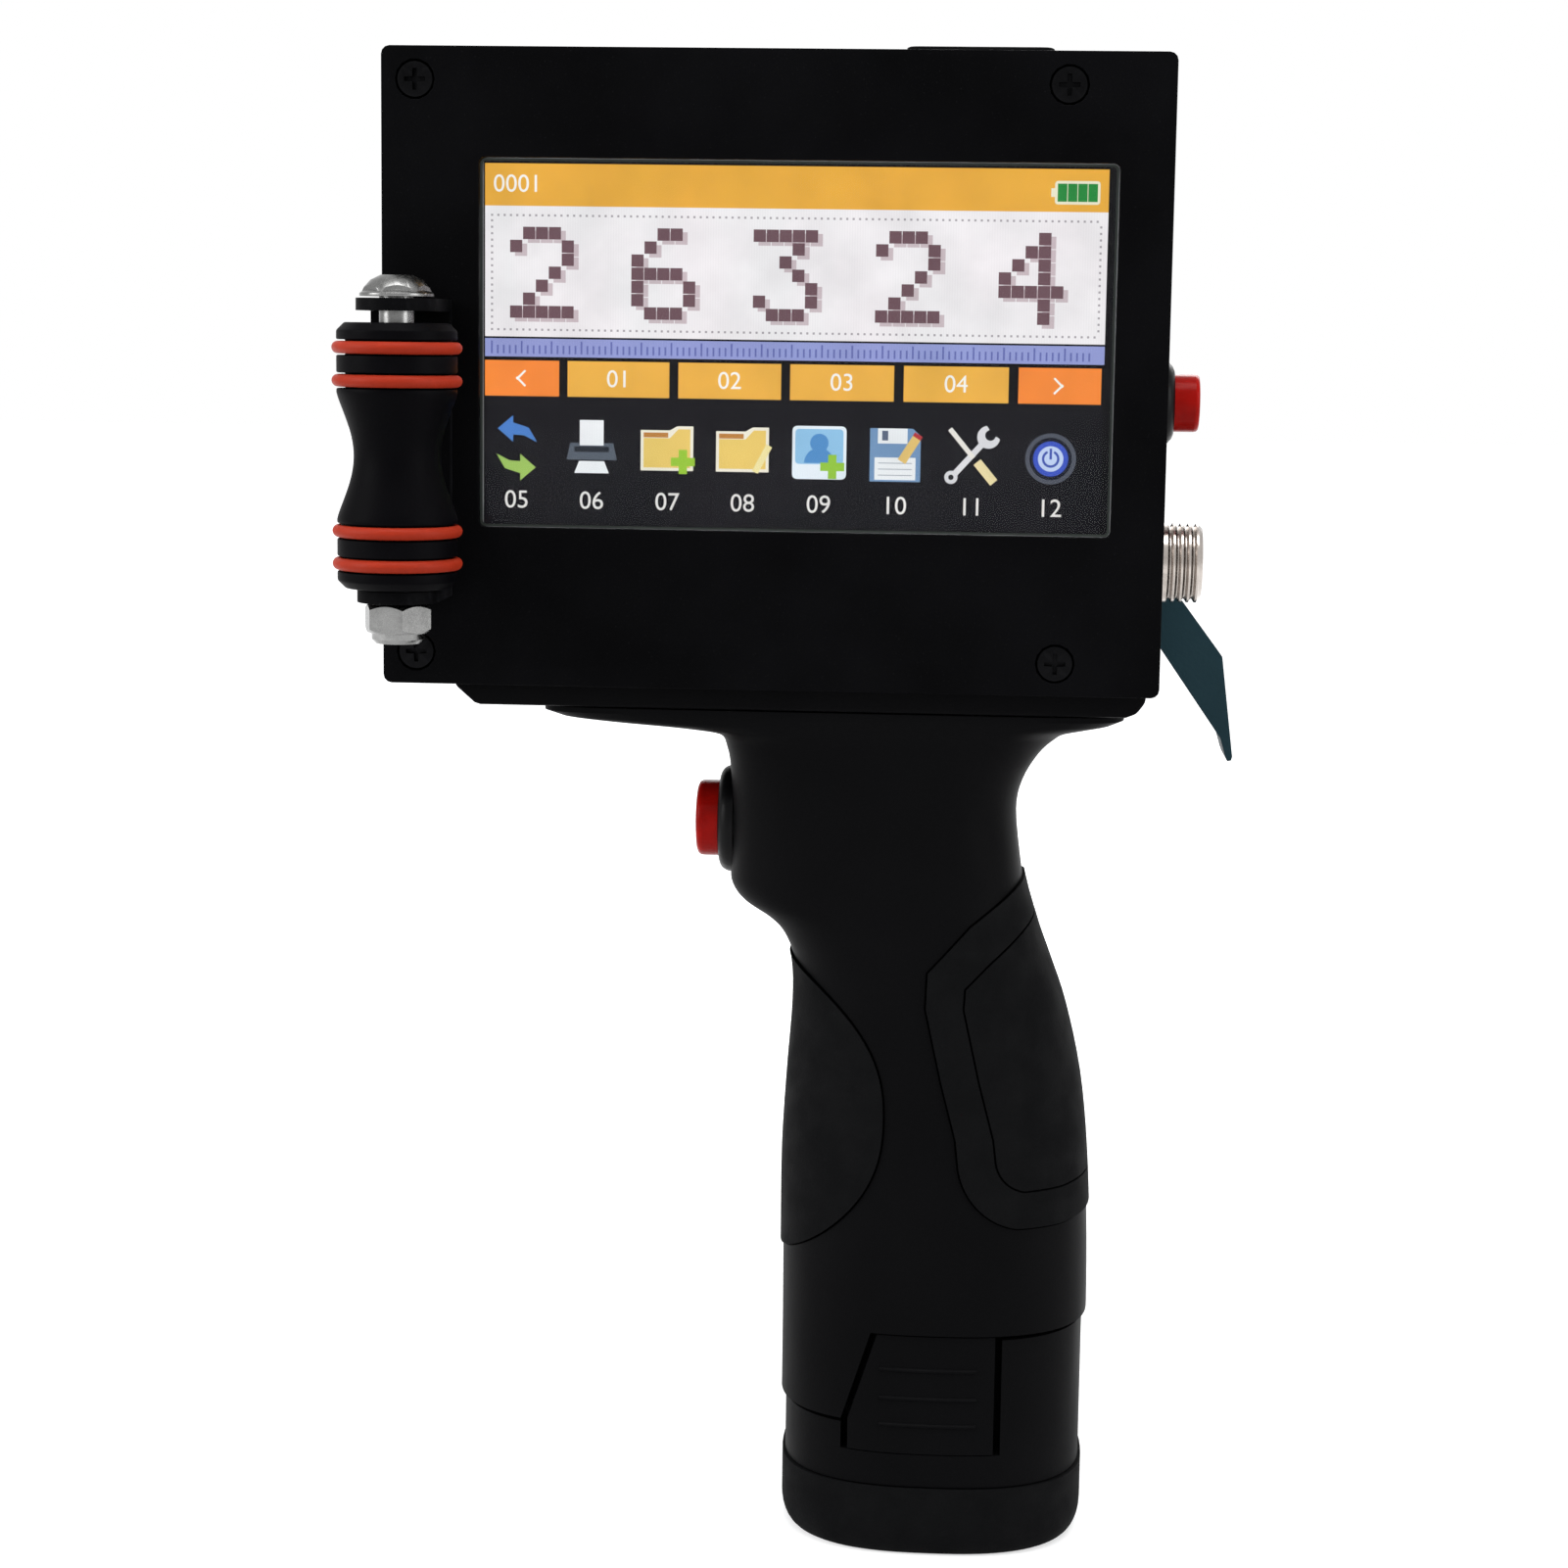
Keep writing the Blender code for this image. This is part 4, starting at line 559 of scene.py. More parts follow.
finishes = {
    "powder_coat": powder_coat_finish(),
    "black_plastic": moulded_finish("black_moulding", (0.0026, 0.0026, 0.0029), 0.40, 0.50, 0.022, None),
    "black_rubber": rubber_finish("black_rubber", (0.0036, 0.0037, 0.0040), 0.78, 0.04),
    "glass": glass_finish(),
    "circuit_green": board_finish(),
    "zinc": metal_finish("zinc_plate", (0.19, 0.19, 0.187), 0.27, tint=0.75),
    "aluminium": metal_finish("brushed_aluminium", (0.26, 0.265, 0.27), 0.38, (1.0, 0.06, 1.0)),
    "moulded_case": moulded_finish("case_plastic", (0.0028, 0.0028, 0.0032), 0.50, 0.50, 0.035),
    "grey_plastic": moulded_finish("grey_plastic", (0.22, 0.22, 0.23), 0.45, 0.50, 0.4, 1.3),
    "black_steel": metal_finish("black_oxide_steel", (0.0055, 0.0055, 0.0060), 0.40, tint=0.7),
    "red_gloss": gloss_finish("red_gloss_plastic", (0.32, 0.005, 0.003), 0.20, 0.05),
    "orange_silicone": rubber_finish("orange_silicone", (0.30, 0.022, 0.007), 0.50, 0.10),
    "teal_plastic": moulded_finish("teal_painted_lever", (0.013, 0.033, 0.042), 0.60, 0.52, 0.06, 1.6),
    "copper": metal_finish("copper_foil", (0.40, 0.22, 0.10), 0.34, (0.2, 1.0, 1.0)),
    "cell_wrap": wrap_finish(),
}
roller_finish = moulded_finish("charcoal_roller", (0.0013, 0.0012, 0.0017), 0.35, 0.48, 0.022)
bezel_finish = gloss_finish("satin_black_plastic", (0.0025, 0.0025, 0.0029), 0.34, 0.08)
nickel_finish = metal_finish("nickel_plate", (0.42, 0.38, 0.35), 0.22, (0.1, 1.0, 1.0))
glass_edge_finish = moulded_finish("glass_edge", (0.026, 0.031, 0.028), 0.5, 0.35, 0.10, None)


def dress_frame():
    """Gives every frame node the finish of its own slot."""
    for obj in frame["nodes"].values():
        for holder in obj.material_slots:
            kind = holder.material.name.split(".")[0] if holder.material else ""
            holder.material = finishes.get(kind, finishes["black_plastic"])


# -------- box


def kept_shape(node, name, slot, width, body="printer", segments=2, angle=30.0):
    """A piece that keeps its node's shape, with softened edges."""
    obj = traced(node, name)
    soften(obj, width, segments, angle)
    settle(obj, slot, node, body)


def box_shapes():
    kept_shape("front_plate", "plate_with_window", "powder_coat", 0.30, segments=3)
    kept_shape("case_frame", "case_wall", "moulded_case", 0.30)
    kept_shape("rear_cover", "back_cover", "moulded_case", 0.35)
    kept_shape("saddle_plate", "saddle_block", "black_plastic", 0.50)
    kept_shape("cartridge_stall", "cartridge_tray", "black_plastic", 0.25)
    kept_shape("ink_cartridge", "ink_tank", "black_plastic", 0.35, "cartridge")
    kept_shape("cartridge_cap", "ink_tank_end", "black_plastic", 0.35, "cartridge")
    kept_shape("port_cover", "port_plug", "black_rubber", 0.45)
    kept_shape("nozzle_plate", "nozzle_face_plate", "aluminium", 0.12)


def cross_cutter(centre, facing):
    """A tapered cross for a screw's drive, with its tip inside the head."""
    x, y, z = centre
    half, span = 0.42, 1.75
    outline = []
    for quarter in range(4):
        cosine, sine = math.cos(quarter * math.pi / 2), math.sin(quarter * math.pi / 2)
        for u, v in ((span, half * 0.8), (half, half), (half * 0.8, span)):
            outline.append((x + u * cosine - v * sine, z + u * sine + v * cosine))
    return prism("cross", [outline], "Y", *sorted((y + facing, y - facing * 1.3)))


def box_screws():
    """Countersunk cross-recess screws, flush with the plate and with the cover."""
    profile = [(0.0, -0.02), (2.5, -0.02), (2.85, -0.08), (3.0, -0.28)]
    profile += [(1.45, -1.7), (1.45, -8.9), (0.0, -8.9)]
    for kind, facing, direction in (("plate", -1, "-Y"), ("rear", 1, "+Y")):
        for number in range(1, 5):
            node = f"{kind}_screw_{number}"
            low, high = box(node)
            middle = middle_of(node)
            centre = (middle.x, low.y if facing < 0 else high.y, middle.z)
            obj = turned(f"{kind}_screw_head_{number}", profile, centre, direction, 48)
            combine(obj, cross_cutter(centre, facing))
            settle(obj, "black_steel", node)


# -------- display

glass_low, glass_high = box("touch_glass")
module_front = box("display_module")[0].y
LIT_LEFT, LIT_RIGHT = glass_low.x + 0.35, glass_high.x - 1.4
LIT_LOW, LIT_HIGH = glass_low.z + 0.35, glass_high.z - 0.6
CANVAS_LOW, CANVAS_HIGH = 210.0, 231.4
BUTTON_LOW, BUTTON_HIGH = 200.2, 206.1
LAYER, PANEL = 0.055, 0.03
WHITE = (250, 246, 240)


def front_of(layer):
    return module_front - LAYER * (layer + 1)


def panel(name, shapes, layer, colour, at=(0.0, 0.0)):
    """Lit shapes on one layer of the display, moved to a place on the screen's plane."""
    outlines = [[(x + at[0], z + at[1]) for x, z in shape] for shape in shapes]
    obj = prism("screen_" + name, outlines, "Y", front_of(layer), front_of(layer) + PANEL)
    settle(obj, "glass", finish=lit_finish(name, colour))


def number(name, digits, x, z, height, layer, colour=WHITE):
    """Plain digits as flat lit shapes."""
    clear_selection()
    bpy.ops.object.text_add(location=(0, 0, 0))
    text = bpy.context.object.data
    text.body = digits
    text.align_x = text.align_y = "CENTER"
    text.size = height * 1.35 * MM
    text.extrude = PANEL / 2 * MM
    bpy.ops.object.convert(target="MESH")
    obj = bpy.context.object
    obj.name = obj.data.name = "screen_" + name
    obj.rotation_euler = (math.pi / 2, 0.0, 0.0)
    obj.location = metres((x, front_of(layer) + PANEL / 2, z))
    bpy.ops.object.transform_apply(location=True, rotation=True, scale=True)
    bpy.ops.object.mode_set(mode="EDIT")
    close_up()
    settle(obj, "glass", finish=lit_finish(name, colour))


DIGITS = {
    "2": ("01110", "10001", "00001", "00010", "00100", "01000", "11111"),
    "6": ("00110", "01000", "10000", "11110", "10001", "10001", "01110"),
    "3": ("11111", "00010", "00100", "00010", "00001", "10001", "01110"),
    "4": ("00010", "00110", "01010", "10010", "11111", "00010", "00010"),
}


def code_dots(left, top, pitch=2.15, step=20.2):
    """The printed code as square dots."""
    shapes = []
    for place, digit in enumerate("26324"):
        for row, line in enumerate(DIGITS[digit]):
            for column, dot in enumerate(line):
                if dot == "1":
                    x, z = left + place * step + column * pitch, top - row * pitch
                    shapes.append(bar(x, z - pitch * 0.94, x + pitch * 0.94, z))
    return shapes


def display():
    """The lit picture: title bar, canvas with a dotted code, ruler, buttons and icons."""
    left, right = LIT_LEFT, LIT_RIGHT
    panel("ground", [bar(left - 0.2, LIT_LOW - 0.2, right + 1.2, LIT_HIGH + 0.5)], 0, (14, 13, 15))
    panel("desk", [bar(left, LIT_LOW, right, 200.6)], 1, (20, 19, 23))
    panel("title_bar", [bar(left, CANVAS_HIGH, right, LIT_HIGH)], 1, (236, 174, 66))
    panel("canvas", [bar(left, CANVAS_LOW, right, CANVAS_HIGH)], 1, (244, 240, 243))
    panel("ruler", [bar(left, 206.7, right, 209.7)], 1, (150, 158, 214))
    battery_symbol(right - 1.4)
    pitch, dot = 1.05, 0.35
    across = [(left + 1 + i * pitch, z) for i in range(96) for z in (CANVAS_HIGH - 1.7, CANVAS_LOW + 1)]
    upright = [(x, 212 + i * pitch) for i in range(17) for x in (left + 1, right - 1.3)]
    panel("dotted_border", [bar(x, z, x + dot, z + dot) for x, z in across + upright], 2, (170, 165, 170))
    panel("code", code_dots(left + 4.2, 228.0), 3, (112, 84, 92))
    panel("code_shadow", code_dots(left + 5.0, 227.4), 2, (206, 190, 196))
    ticks = [bar(left + 1 + i, 207.2, left + 1.3 + i, 208.6 if i % 5 else 209.3) for i in range(100)]
    panel("ruler_ticks", ticks, 2, (104, 112, 178))
    buttons = ((-63.8, -46.8), (-45.3, -28.2), (-26.7, -9.5), (-7.9, 9.4))
    ends = ((left, -65.2), (11.0, right - 0.4))
    panel("buttons", [bar(a, BUTTON_LOW, b, BUTTON_HIGH) for a, b in buttons], 2, (240, 180, 76))
    panel("arrow_buttons", [bar(a, BUTTON_LOW, b, BUTTON_HIGH) for a, b in ends], 2, (250, 140, 60))
    strokes = ((-71.6, 203.7, 45), (-71.6, 202.6, -45), (17.6, 203.7, -45), (17.6, 202.6, 45))
    panel("arrows", [slab(x, z, 2.1, 0.35, degrees) for x, z, degrees in strokes], 3, WHITE)
    number("title", "0001", left + 5.4, 234.9, 3.0, 2)
    for place, (a, b) in enumerate(buttons, 1):
        number(f"button_{place}", f"{place:02d}", (a + b) / 2, 203.1, 3.0, 3)
    icons()


def battery_symbol(edge):
    shell = [rounded(edge - 7.4, 232.6, edge, 236.4, 0.5, 3), bar(edge - 8.0, 233.8, edge - 7.3, 235.2)]
    panel("battery_shell", shell, 2, (236, 232, 205))
    fill = [bar(edge - 6.95 + i * 1.66, 233.05, edge - 5.40 + i * 1.66, 235.95) for i in range(4)]
    panel("battery_fill", fill, 3, (40, 138, 62))


def icons():
    """A row of icons, each drawn about its own middle, with a number under it."""
    places = (-72.3, -59.7, -47.0, -34.4, -21.7, -9.1, 3.6, 16.6)
    for place, x in enumerate(places):
        number(f"label_{place + 1}", f"{place + 5:02d}", x, 182.9, 3.1, 2, (235, 232, 230))
    drawn = (
        swap_icon(),
        printer_icon(),
        folder_icon("folder_new", ("plus", plus(2.6, -1.9, 2.0, 0.7), 5, (158, 205, 62))),
        folder_icon("folder_name", ("pencil", [slab(3.2, -1.2, 5.0, 1.1, 62)], 5, (246, 232, 168))),
        card_icon(),
        disk_icon(),
        tools_icon(),
        power_icon(-0.4),
    )
    for x, icon in zip(places, drawn):
        for piece in icon:
            panel(*piece, at=(x, 191.6))


def swap_icon():
    blue = [(-3.2, 3.2), (-0.6, 5.4), (-0.6, 4.2), (2.0, 3.4), (3.4, 1.0), (1.2, 2.1)]
    blue += [(-0.6, 2.2), (-0.6, 1.0)]
    yield "swap_blue", [blue], 2, (78, 130, 205)
    yield "swap_green", [[(-x, -z) for x, z in blue]], 2, (160, 196, 98)


def printer_icon():
    yield "print_body", [[(-4.2, -1.8), (4.2, -1.8), (3.6, 1.0), (-3.6, 1.0)]], 2, (92, 100, 112)
    yield "print_slot", [bar(-2.9, -0.5, 2.9, 0.4)], 3, (42, 46, 54)
    sheets = [bar(-2.0, 0.6, 2.0, 4.8), [(-2.9, -4.0), (2.9, -4.0), (2.1, -2.0), (-2.1, -2.0)]]
    yield "print_sheets", sheets, 4, (246, 248, 252)


def folder_icon(name, sign):
    part, shapes, layer, colour = sign
    outer = [(-4.5, -3.4), (4.3, -3.4), (4.3, 4.0), (1.6, 4.0), (0.4, 3.3), (-4.5, 3.3)]
    inner = [(-4.0, -2.9), (3.8, -2.9), (3.8, 3.5), (1.8, 3.5), (0.4, 2.0), (-4.0, 2.0)]
    yield name + "_edge", [outer], 2, (246, 240, 222)
    yield name + "_front", [inner], 3, (240, 206, 112)
    yield name + "_tab", [bar(-4.0, 2.1, 0.1, 2.9)], 4, (196, 134, 66)
    yield name + "_" + part, shapes, layer, colour


def card_icon():
    yield "card_edge", [rounded(-4.5, -4.4, 4.5, 4.4, 0.8)], 2, (232, 242, 250)
    yield "card_front", [rounded(-4.0, -1.9, 4.0, 3.9, 0.6)], 3, (146, 196, 232)
    yield "card_person", [disc(0, 1.6, 1.55, 20), arc((0, -1.7), 2.5, 0, 180, 14)], 4, (84, 144, 202)
    yield "card_plus", plus(2.2, -2.3, 2.0, 0.7), 5, (150, 200, 66)


def disk_icon():
    yield "disk_body", [[(-4.2, -4.6), (4.2, -4.6), (4.2, 3.0), (2.9, 4.2), (-4.2, 4.2)]], 2, (118, 152, 192)
    yield "disk_papers", [bar(-2.9, 1.7, 2.0, 4.2), bar(-3.4, -4.3, 3.4, -0.6)], 3, (240, 242, 246)
    yield "disk_shutter", [bar(-2.2, 2.2, -1.2, 3.8)], 4, (96, 108, 132)
    yield "disk_rules", [bar(-2.8, -1.6 - i, 2.8, -1.45 - i) for i in range(3)], 4, (170, 176, 186)
    yield "disk_pencil", [slab(2.3, 0.7, 4.6, 1.5, 58)], 5, (232, 196, 118)
    yield "disk_rubber", [slab(3.7, 2.95, 0.7, 1.5, 58)], 6, (186, 60, 66)


def tools_icon():
    yield "driver_blade", [slab(-1.7, 1.9, 6.2, 0.8, -50)], 3, (236, 232, 226)
    yield "driver_grip", [slab(2.3, -2.8, 4.4, 1.5, -50)], 4, (238, 222, 170)
    jaw = arc((2.7, 3.0), 1.9, 100, 350, 16) + arc((3.0, 3.3), 0.9, 350, 100, 8)
    yield "wrench", [slab(-0.8, -0.9, 8.2, 1.0, 48), jaw, disc(-3.4, -3.7, 1.1, 18)], 2, (222, 222, 226)
    yield "wrench_eye", [disc(-3.4, -3.7, 0.45, 14)], 3, (40, 40, 44)


def power_icon(z):
    yield "power_rim", [disc(0, z, 4.2, 40)], 2, (84, 88, 100)
    yield "power_well", [disc(0, z, 3.5, 36)], 3, (30, 32, 44)
    yield "power_glow", [disc(0, z, 2.9, 32)], 4, (64, 88, 196)
    yield "power_heart", [disc(0, z, 2.1, 28)], 5, (196, 212, 246)
    sign = arc((0, z), 1.45, 115, 425, 20) + arc((0, z), 1.05, 425, 115, 20)
    yield "power_sign", [sign, bar(-0.2, z - 0.1, 0.2, z + 1.7)], 6, (70, 90, 180)


def glass_edge():
    """The ground edge of the glass, which catches the light round the window."""
    front = glass_low.y - 0.04
    outer, inner = (
        rounded(glass_low.x - grow, glass_low.z - grow, glass_high.x + grow, glass_high.z + grow, radius)
        for grow, radius in ((0.1, 0.9), (-0.3, 0.6))
    )
    obj = prism("glass_edge_line", [outer], "Y", front, front + 0.03)
    combine(obj, prism("window", [inner], "Y", front - 1, front + 1))
    settle(obj, "glass", finish=glass_edge_finish)


# -------- roller

roller_low, roller_high = box("roller")
roller_centre = middle_of("roller")
roller_half = (roller_high.z - roller_low.z) / 2
roller_radius = (roller_high.y - roller_low.y) / 2
roller_foot = (roller_centre.x, roller_centre.y, 0.0)
AXLE, AXLE_HOLE = 2.85, 3.15


def roller():
    """A bobbin with chamfered ends, four ring grooves and a drawn-in waist."""
    waist, waist_half, groove_half, groove_depth, steps = 7.05, 10.2, 1.25, 1.45, 36
    radius, half = roller_radius, roller_half
    upper = [(AXLE_HOLE, half), (radius - 1.3, half), (radius, half - 1.3)]
    for number in (1, 2):
        offset = middle_of(f"roller_ring_{number}").z - roller_centre.z
        top, bottom, floor = offset + groove_half, offset - groove_half, radius - groove_depth
        upper += [(radius, top), (floor, top), (floor, bottom), (radius, bottom)]
    middle = []
    for i in range(steps + 1):
        height = waist_half * (1 - 2 * i / steps)
        depth = (radius - waist) * math.cos(math.pi / 2 * height / waist_half) ** 1.2
        middle.append((radius - depth, height))
    lower = [(r, -h) for r, h in reversed(upper)]
    obj = turned("guide_roller", upper + middle + lower, roller_centre, ring=True)
    soften(obj, 0.22, 2, 28.0)
    settle(obj, "black_plastic", "roller", "roller", finish=roller_finish)


def roller_rings():
    """Round silicone rings with the thin flash line of their mould."""
    low, high = box("roller_ring_1")
    outer, section = (high.x - low.x) / 2, (high.z - low.z) / 2
    profile = arc((outer - section, 0.0), section, 8, 352, 24) + [(outer, -0.02), (outer, 0.02)]
    first = turned("silicone_ring_1", profile, middle_of("roller_ring_1"), ring=True)
    settle(first, "orange_silicone", "roller_ring_1", "roller", 60)
    for place in (2, 3, 4):
        drop = middle_of(f"roller_ring_{place}").z - middle_of("roller_ring_1").z
        obj = twin(first, f"silicone_ring_{place}", (0.0, 0.0, drop))
        settle(obj, "orange_silicone", f"roller_ring_{place}", "roller", 60)


def on_axle(name, profile, steps=64):
    return turned(name, profile, roller_foot, steps=steps)


def hexagon(start):
    """A 10 mm hexagon round the roller's axis."""
    return arc(roller_foot, 10.0 / math.sqrt(3), start, start + 300, 5)


def roller_bolt():
    """A flanged hexagon bolt whose shank is the roller's axle, threaded at its end."""
    low, high = box("roller_bolt")
    bracket_low, bracket_high = box("roller_bracket")
    seat, pitch = bracket_high.z + 0.3, 1.0
    head = prism("bolt_head", [hexagon(12)], "Z", seat + 0.6, high.z)
    dome = [(0.0, high.z), (2.6, high.z), (4.2, high.z - 0.8), (5.3, high.z - 2.0), (5.9, seat), (0.0, seat)]
    combine(head, on_axle("dome", dome, 72), "INTERSECT")
    flange = [(0.0, 1.2), (4.6, 1.15), (5.5, 0.8), (6.0, 0.45), (6.0, 0.0), (2.85, 0.0)]
    profile = [(radius, seat + height) for radius, height in flange]
    crest = bracket_low.z + 1.0
    profile.append((AXLE, crest))
    while crest - pitch > low.z + 0.3:
        profile += [(AXLE - 0.45, crest - pitch / 2), (AXLE, crest - pitch)]
        crest -= pitch
    profile += [(AXLE - 0.5, low.z), (0.0, low.z)]
    combine(head, on_axle("bolt_shank", profile), "UNION")
    head.name = head.data.name = "axle_bolt"
    soften(head, 0.12, 2, 25.0)
    settle(head, "zinc", "roller_bolt")


def roller_nut():
    """A lock nut with chamfered corners and a plain collar."""
    low, high = box("roller_nut")
    start, top = low.z + 1.7, high.z
    obj = prism("lock_nut", [hexagon(-12)], "Z", start, top)
    corners = [(0.0, top), (4.8, top), (5.9, top - 0.9), (5.9, start + 0.9), (4.8, start), (0.0, start)]
    combine(obj, on_axle("corners", corners, 72), "INTERSECT")
    collar = [(0.0, start + 1), (4.3, start + 1), (4.3, low.z + 0.7), (3.7, low.z), (0.0, low.z)]
    combine(obj, on_axle("collar", collar), "UNION")
    combine(obj, rod("bore", AXLE_HOLE, top + 1, low.z - 1, roller_foot))
    soften(obj, 0.12, 2, 25.0)
    settle(obj, "zinc", "roller_nut")


def roller_bracket():
    """A folded strip with a rounded lug above and below the roller."""
    low, high = box("roller_bracket")
    thickness, base = 2.0, 2.2
    half, x = (high.x - low.x) / 2, (high.x + low.x) / 2
    obj = block("bracket", (low.x, high.y - base, low.z), high)
    for number, bottom in enumerate((low.z, high.z - thickness)):
        outline = arc((x, roller_centre.y), half, 180, 360, 32)
        outline += [(x + half, high.y - 1), (x - half, high.y - 1)]
        combine(obj, prism(f"lug_{number}", [outline], "Z", bottom, bottom + thickness), "UNION")
        combine(obj, rod("hole", AXLE_HOLE, bottom - 1, bottom + 3, (x, roller_centre.y, 0.0), steps=48))
    for number in (1, 2):
        screw = middle_of(f"bracket_screw_{number}")
        combine(obj, rod("hole", 1.75, -4, 4, (screw.x, high.y - base, screw.z), "+Y", 32))
    soften(obj, 0.3, 2, 40.0)
    settle(obj, "powder_coat", "roller_bracket")


# -------- buttons, connector and lever

case_seat = box("case_frame")[1].x + 0.3


def power_button():
    """A stepped bezel on the case's side, with its dished red cap."""
    low, high = box("power_bezel")
    centre = foot_of_axis("power_bezel", "+X")
    bore, wide, body, top, floor = 5.1, 7.0, 5.9, high.x, low.x + 3.0
    profile = [(bore, top - 0.2), (bore + 0.2, top), (wide - 1.7, top), (wide - 0.9, top - 0.35)]
    profile += [(wide - 0.3, top - 0.9), (wide, top - 1.7), (wide, case_seat), (body, case_seat)]
    profile += [(body, low.x), (0.0, low.x), (0.0, floor), (bore, floor)]
    obj = turned("power_button_bezel", profile, centre, "+X", ring=True)
    soften(obj, 0.12, 2, 40.0)
    settle(obj, "black_plastic", "power_bezel", finish=bezel_finish)
    low, high = box("power_cap")
    radius, top = 4.8, high.x
    profile = [(0.0, top - 0.18), (radius * 0.55, top - 0.14), (radius - 0.8, top)]
    profile += [(radius - 0.35, top - 0.1), (radius - 0.08, top - 0.4), (radius, top - 0.9)]
    profile += [(radius, low.x), (0.0, low.x)]
    settle(turned("power_button_cap", profile, centre, "+X"), "red_gloss", "power_cap", "power_button", 40)


def connector():
    """A threaded round socket with pins in its insert."""
    low, high = box("connector_shell")
    centre = foot_of_axis("connector_shell", "+X")
    bore, wide, body, pitch, end = 5.1, 6.7, 5.9, 1.3, high.x
    root = wide - 0.62
    profile = [(bore, end - 0.2), (bore + 0.2, end), (wide - 0.8, end), (wide - 0.3, end - 0.5)]
    crest = end - 0.7
    while crest - pitch > case_seat + 0.7:
        profile += [(wide, crest), (wide, crest - 0.35), (root, crest - 0.75), (root, crest - 0.9)]
        crest -= pitch
    profile += [(wide, crest), (wide, case_seat), (body, case_seat), (body, low.x), (bore, low.x)]
    obj = turned("connector_barrel", profile, centre, "+X", ring=True)
    settle(obj, "zinc", "connector_shell", angle=25, finish=nickel_finish)
    low, high = box("connector_insert")
    radius, face = (high.z - low.z) / 2, high.x - 1.2
    profile = [(0.0, face), (radius - 1.2, face), (radius - 1.0, high.x), (radius, high.x), (radius, low.x)]
    obj = turned("connector_socket", profile + [(0.0, low.x)], centre, "+X", 64)
    key_low, key_high = centre.z + radius - 2.0, centre.z + radius - 0.5
    key = block("key", (face - 1, centre.y - 0.8, key_low), (high.x, centre.y + 0.8, key_high))
    combine(obj, key, "UNION")
    settle(obj, "black_plastic", "connector_insert")
    pin = [(0.0, 4.6), (0.3, 4.5), (0.5, 4.1), (0.5, -0.5), (0.0, -0.5)]
    pin = [(radius, face + height) for radius, height in pin]
    spots = arc((centre.y, centre.z), 2.3, 90, 378, 4)
    first = turned("connector_pin_1", pin, (0.0, *spots[0]), "+X", 20)
    settle(first, "copper")
    for place, (y, z) in enumerate(spots[1:], 2):
        obj = twin(first, f"connector_pin_{place}", (0.0, y - spots[0][0], z - spots[0][1]))
        settle(obj, "copper")


def trigger():
    """A domed bezel let into the neck, with its red cap."""
    low, high = box("trigger_bezel")
    centre = foot_of_axis("trigger_bezel", "-X")
    bore, wide, body, dome = 7.0, 9.45, 8.2, 2.1
    top, seat, foot = -low.x, -low.x - 2.8, -high.x
    profile = [(bore, top - 0.25), (bore + 0.25, top)] + arc((wide - dome, top - dome), dome, 88, 0, 12)
    profile += [(wide, seat), (body, seat), (body, foot), (bore, foot)]
    obj = turned("trigger_bezel_ring", profile, centre, "-X", ring=True)
    settle(obj, "black_plastic", "trigger_bezel", angle=40, finish=bezel_finish)
    low, high = box("trigger_cap")
    radius, top, foot = (high.z - low.z) / 2, -low.x, -high.x
    profile = [(0.0, top), (radius * 0.5, top - 0.1), (radius - 0.9, top - 0.35), (radius - 0.3, top - 0.65)]
    profile += [(radius - 0.05, top - 1.1), (radius, top - 1.6), (radius, foot), (0.0, foot)]
    settle(turned("trigger_button_cap", profile, centre, "-X"), "red_gloss", "trigger_cap", "trigger", 40)


def lever():
    """The latch lever: a bent bar with a boss and a nub, its edges broken, and its pin."""
    kept_shape("stall_latch", "latch_lever_bar", "teal_plastic", 0.5, "latch_lever", 3, 25.0)
    low, high = box("latch_pin")
    radius, chamfer = (high.z - low.z) / 2, 0.25
    profile = [(0.0, high.y), (radius - chamfer, high.y), (radius, high.y - chamfer)]
    profile += [(radius, low.y + chamfer), (radius - chamfer, low.y), (0.0, low.y)]
    obj = turned("lever_pin", profile, foot_of_axis("latch_pin", "+Y"), "+Y", 40)
    settle(obj, "zinc", "latch_pin")


# -------- handle

flange_top = box("handle_front_half")[1].z
HANDLE_WALL, PAD_DEPTH, GAP, SEAM, PROUD, BAND = 2.6, 1.3, 0.3, 0.35, 0.50, 6.6
SCREW_HEAD = 1.8
RIM_FRONT, RIM_REAR, RIM_SLOPE = 24.0, 40.0, (-15.6, -10.6)

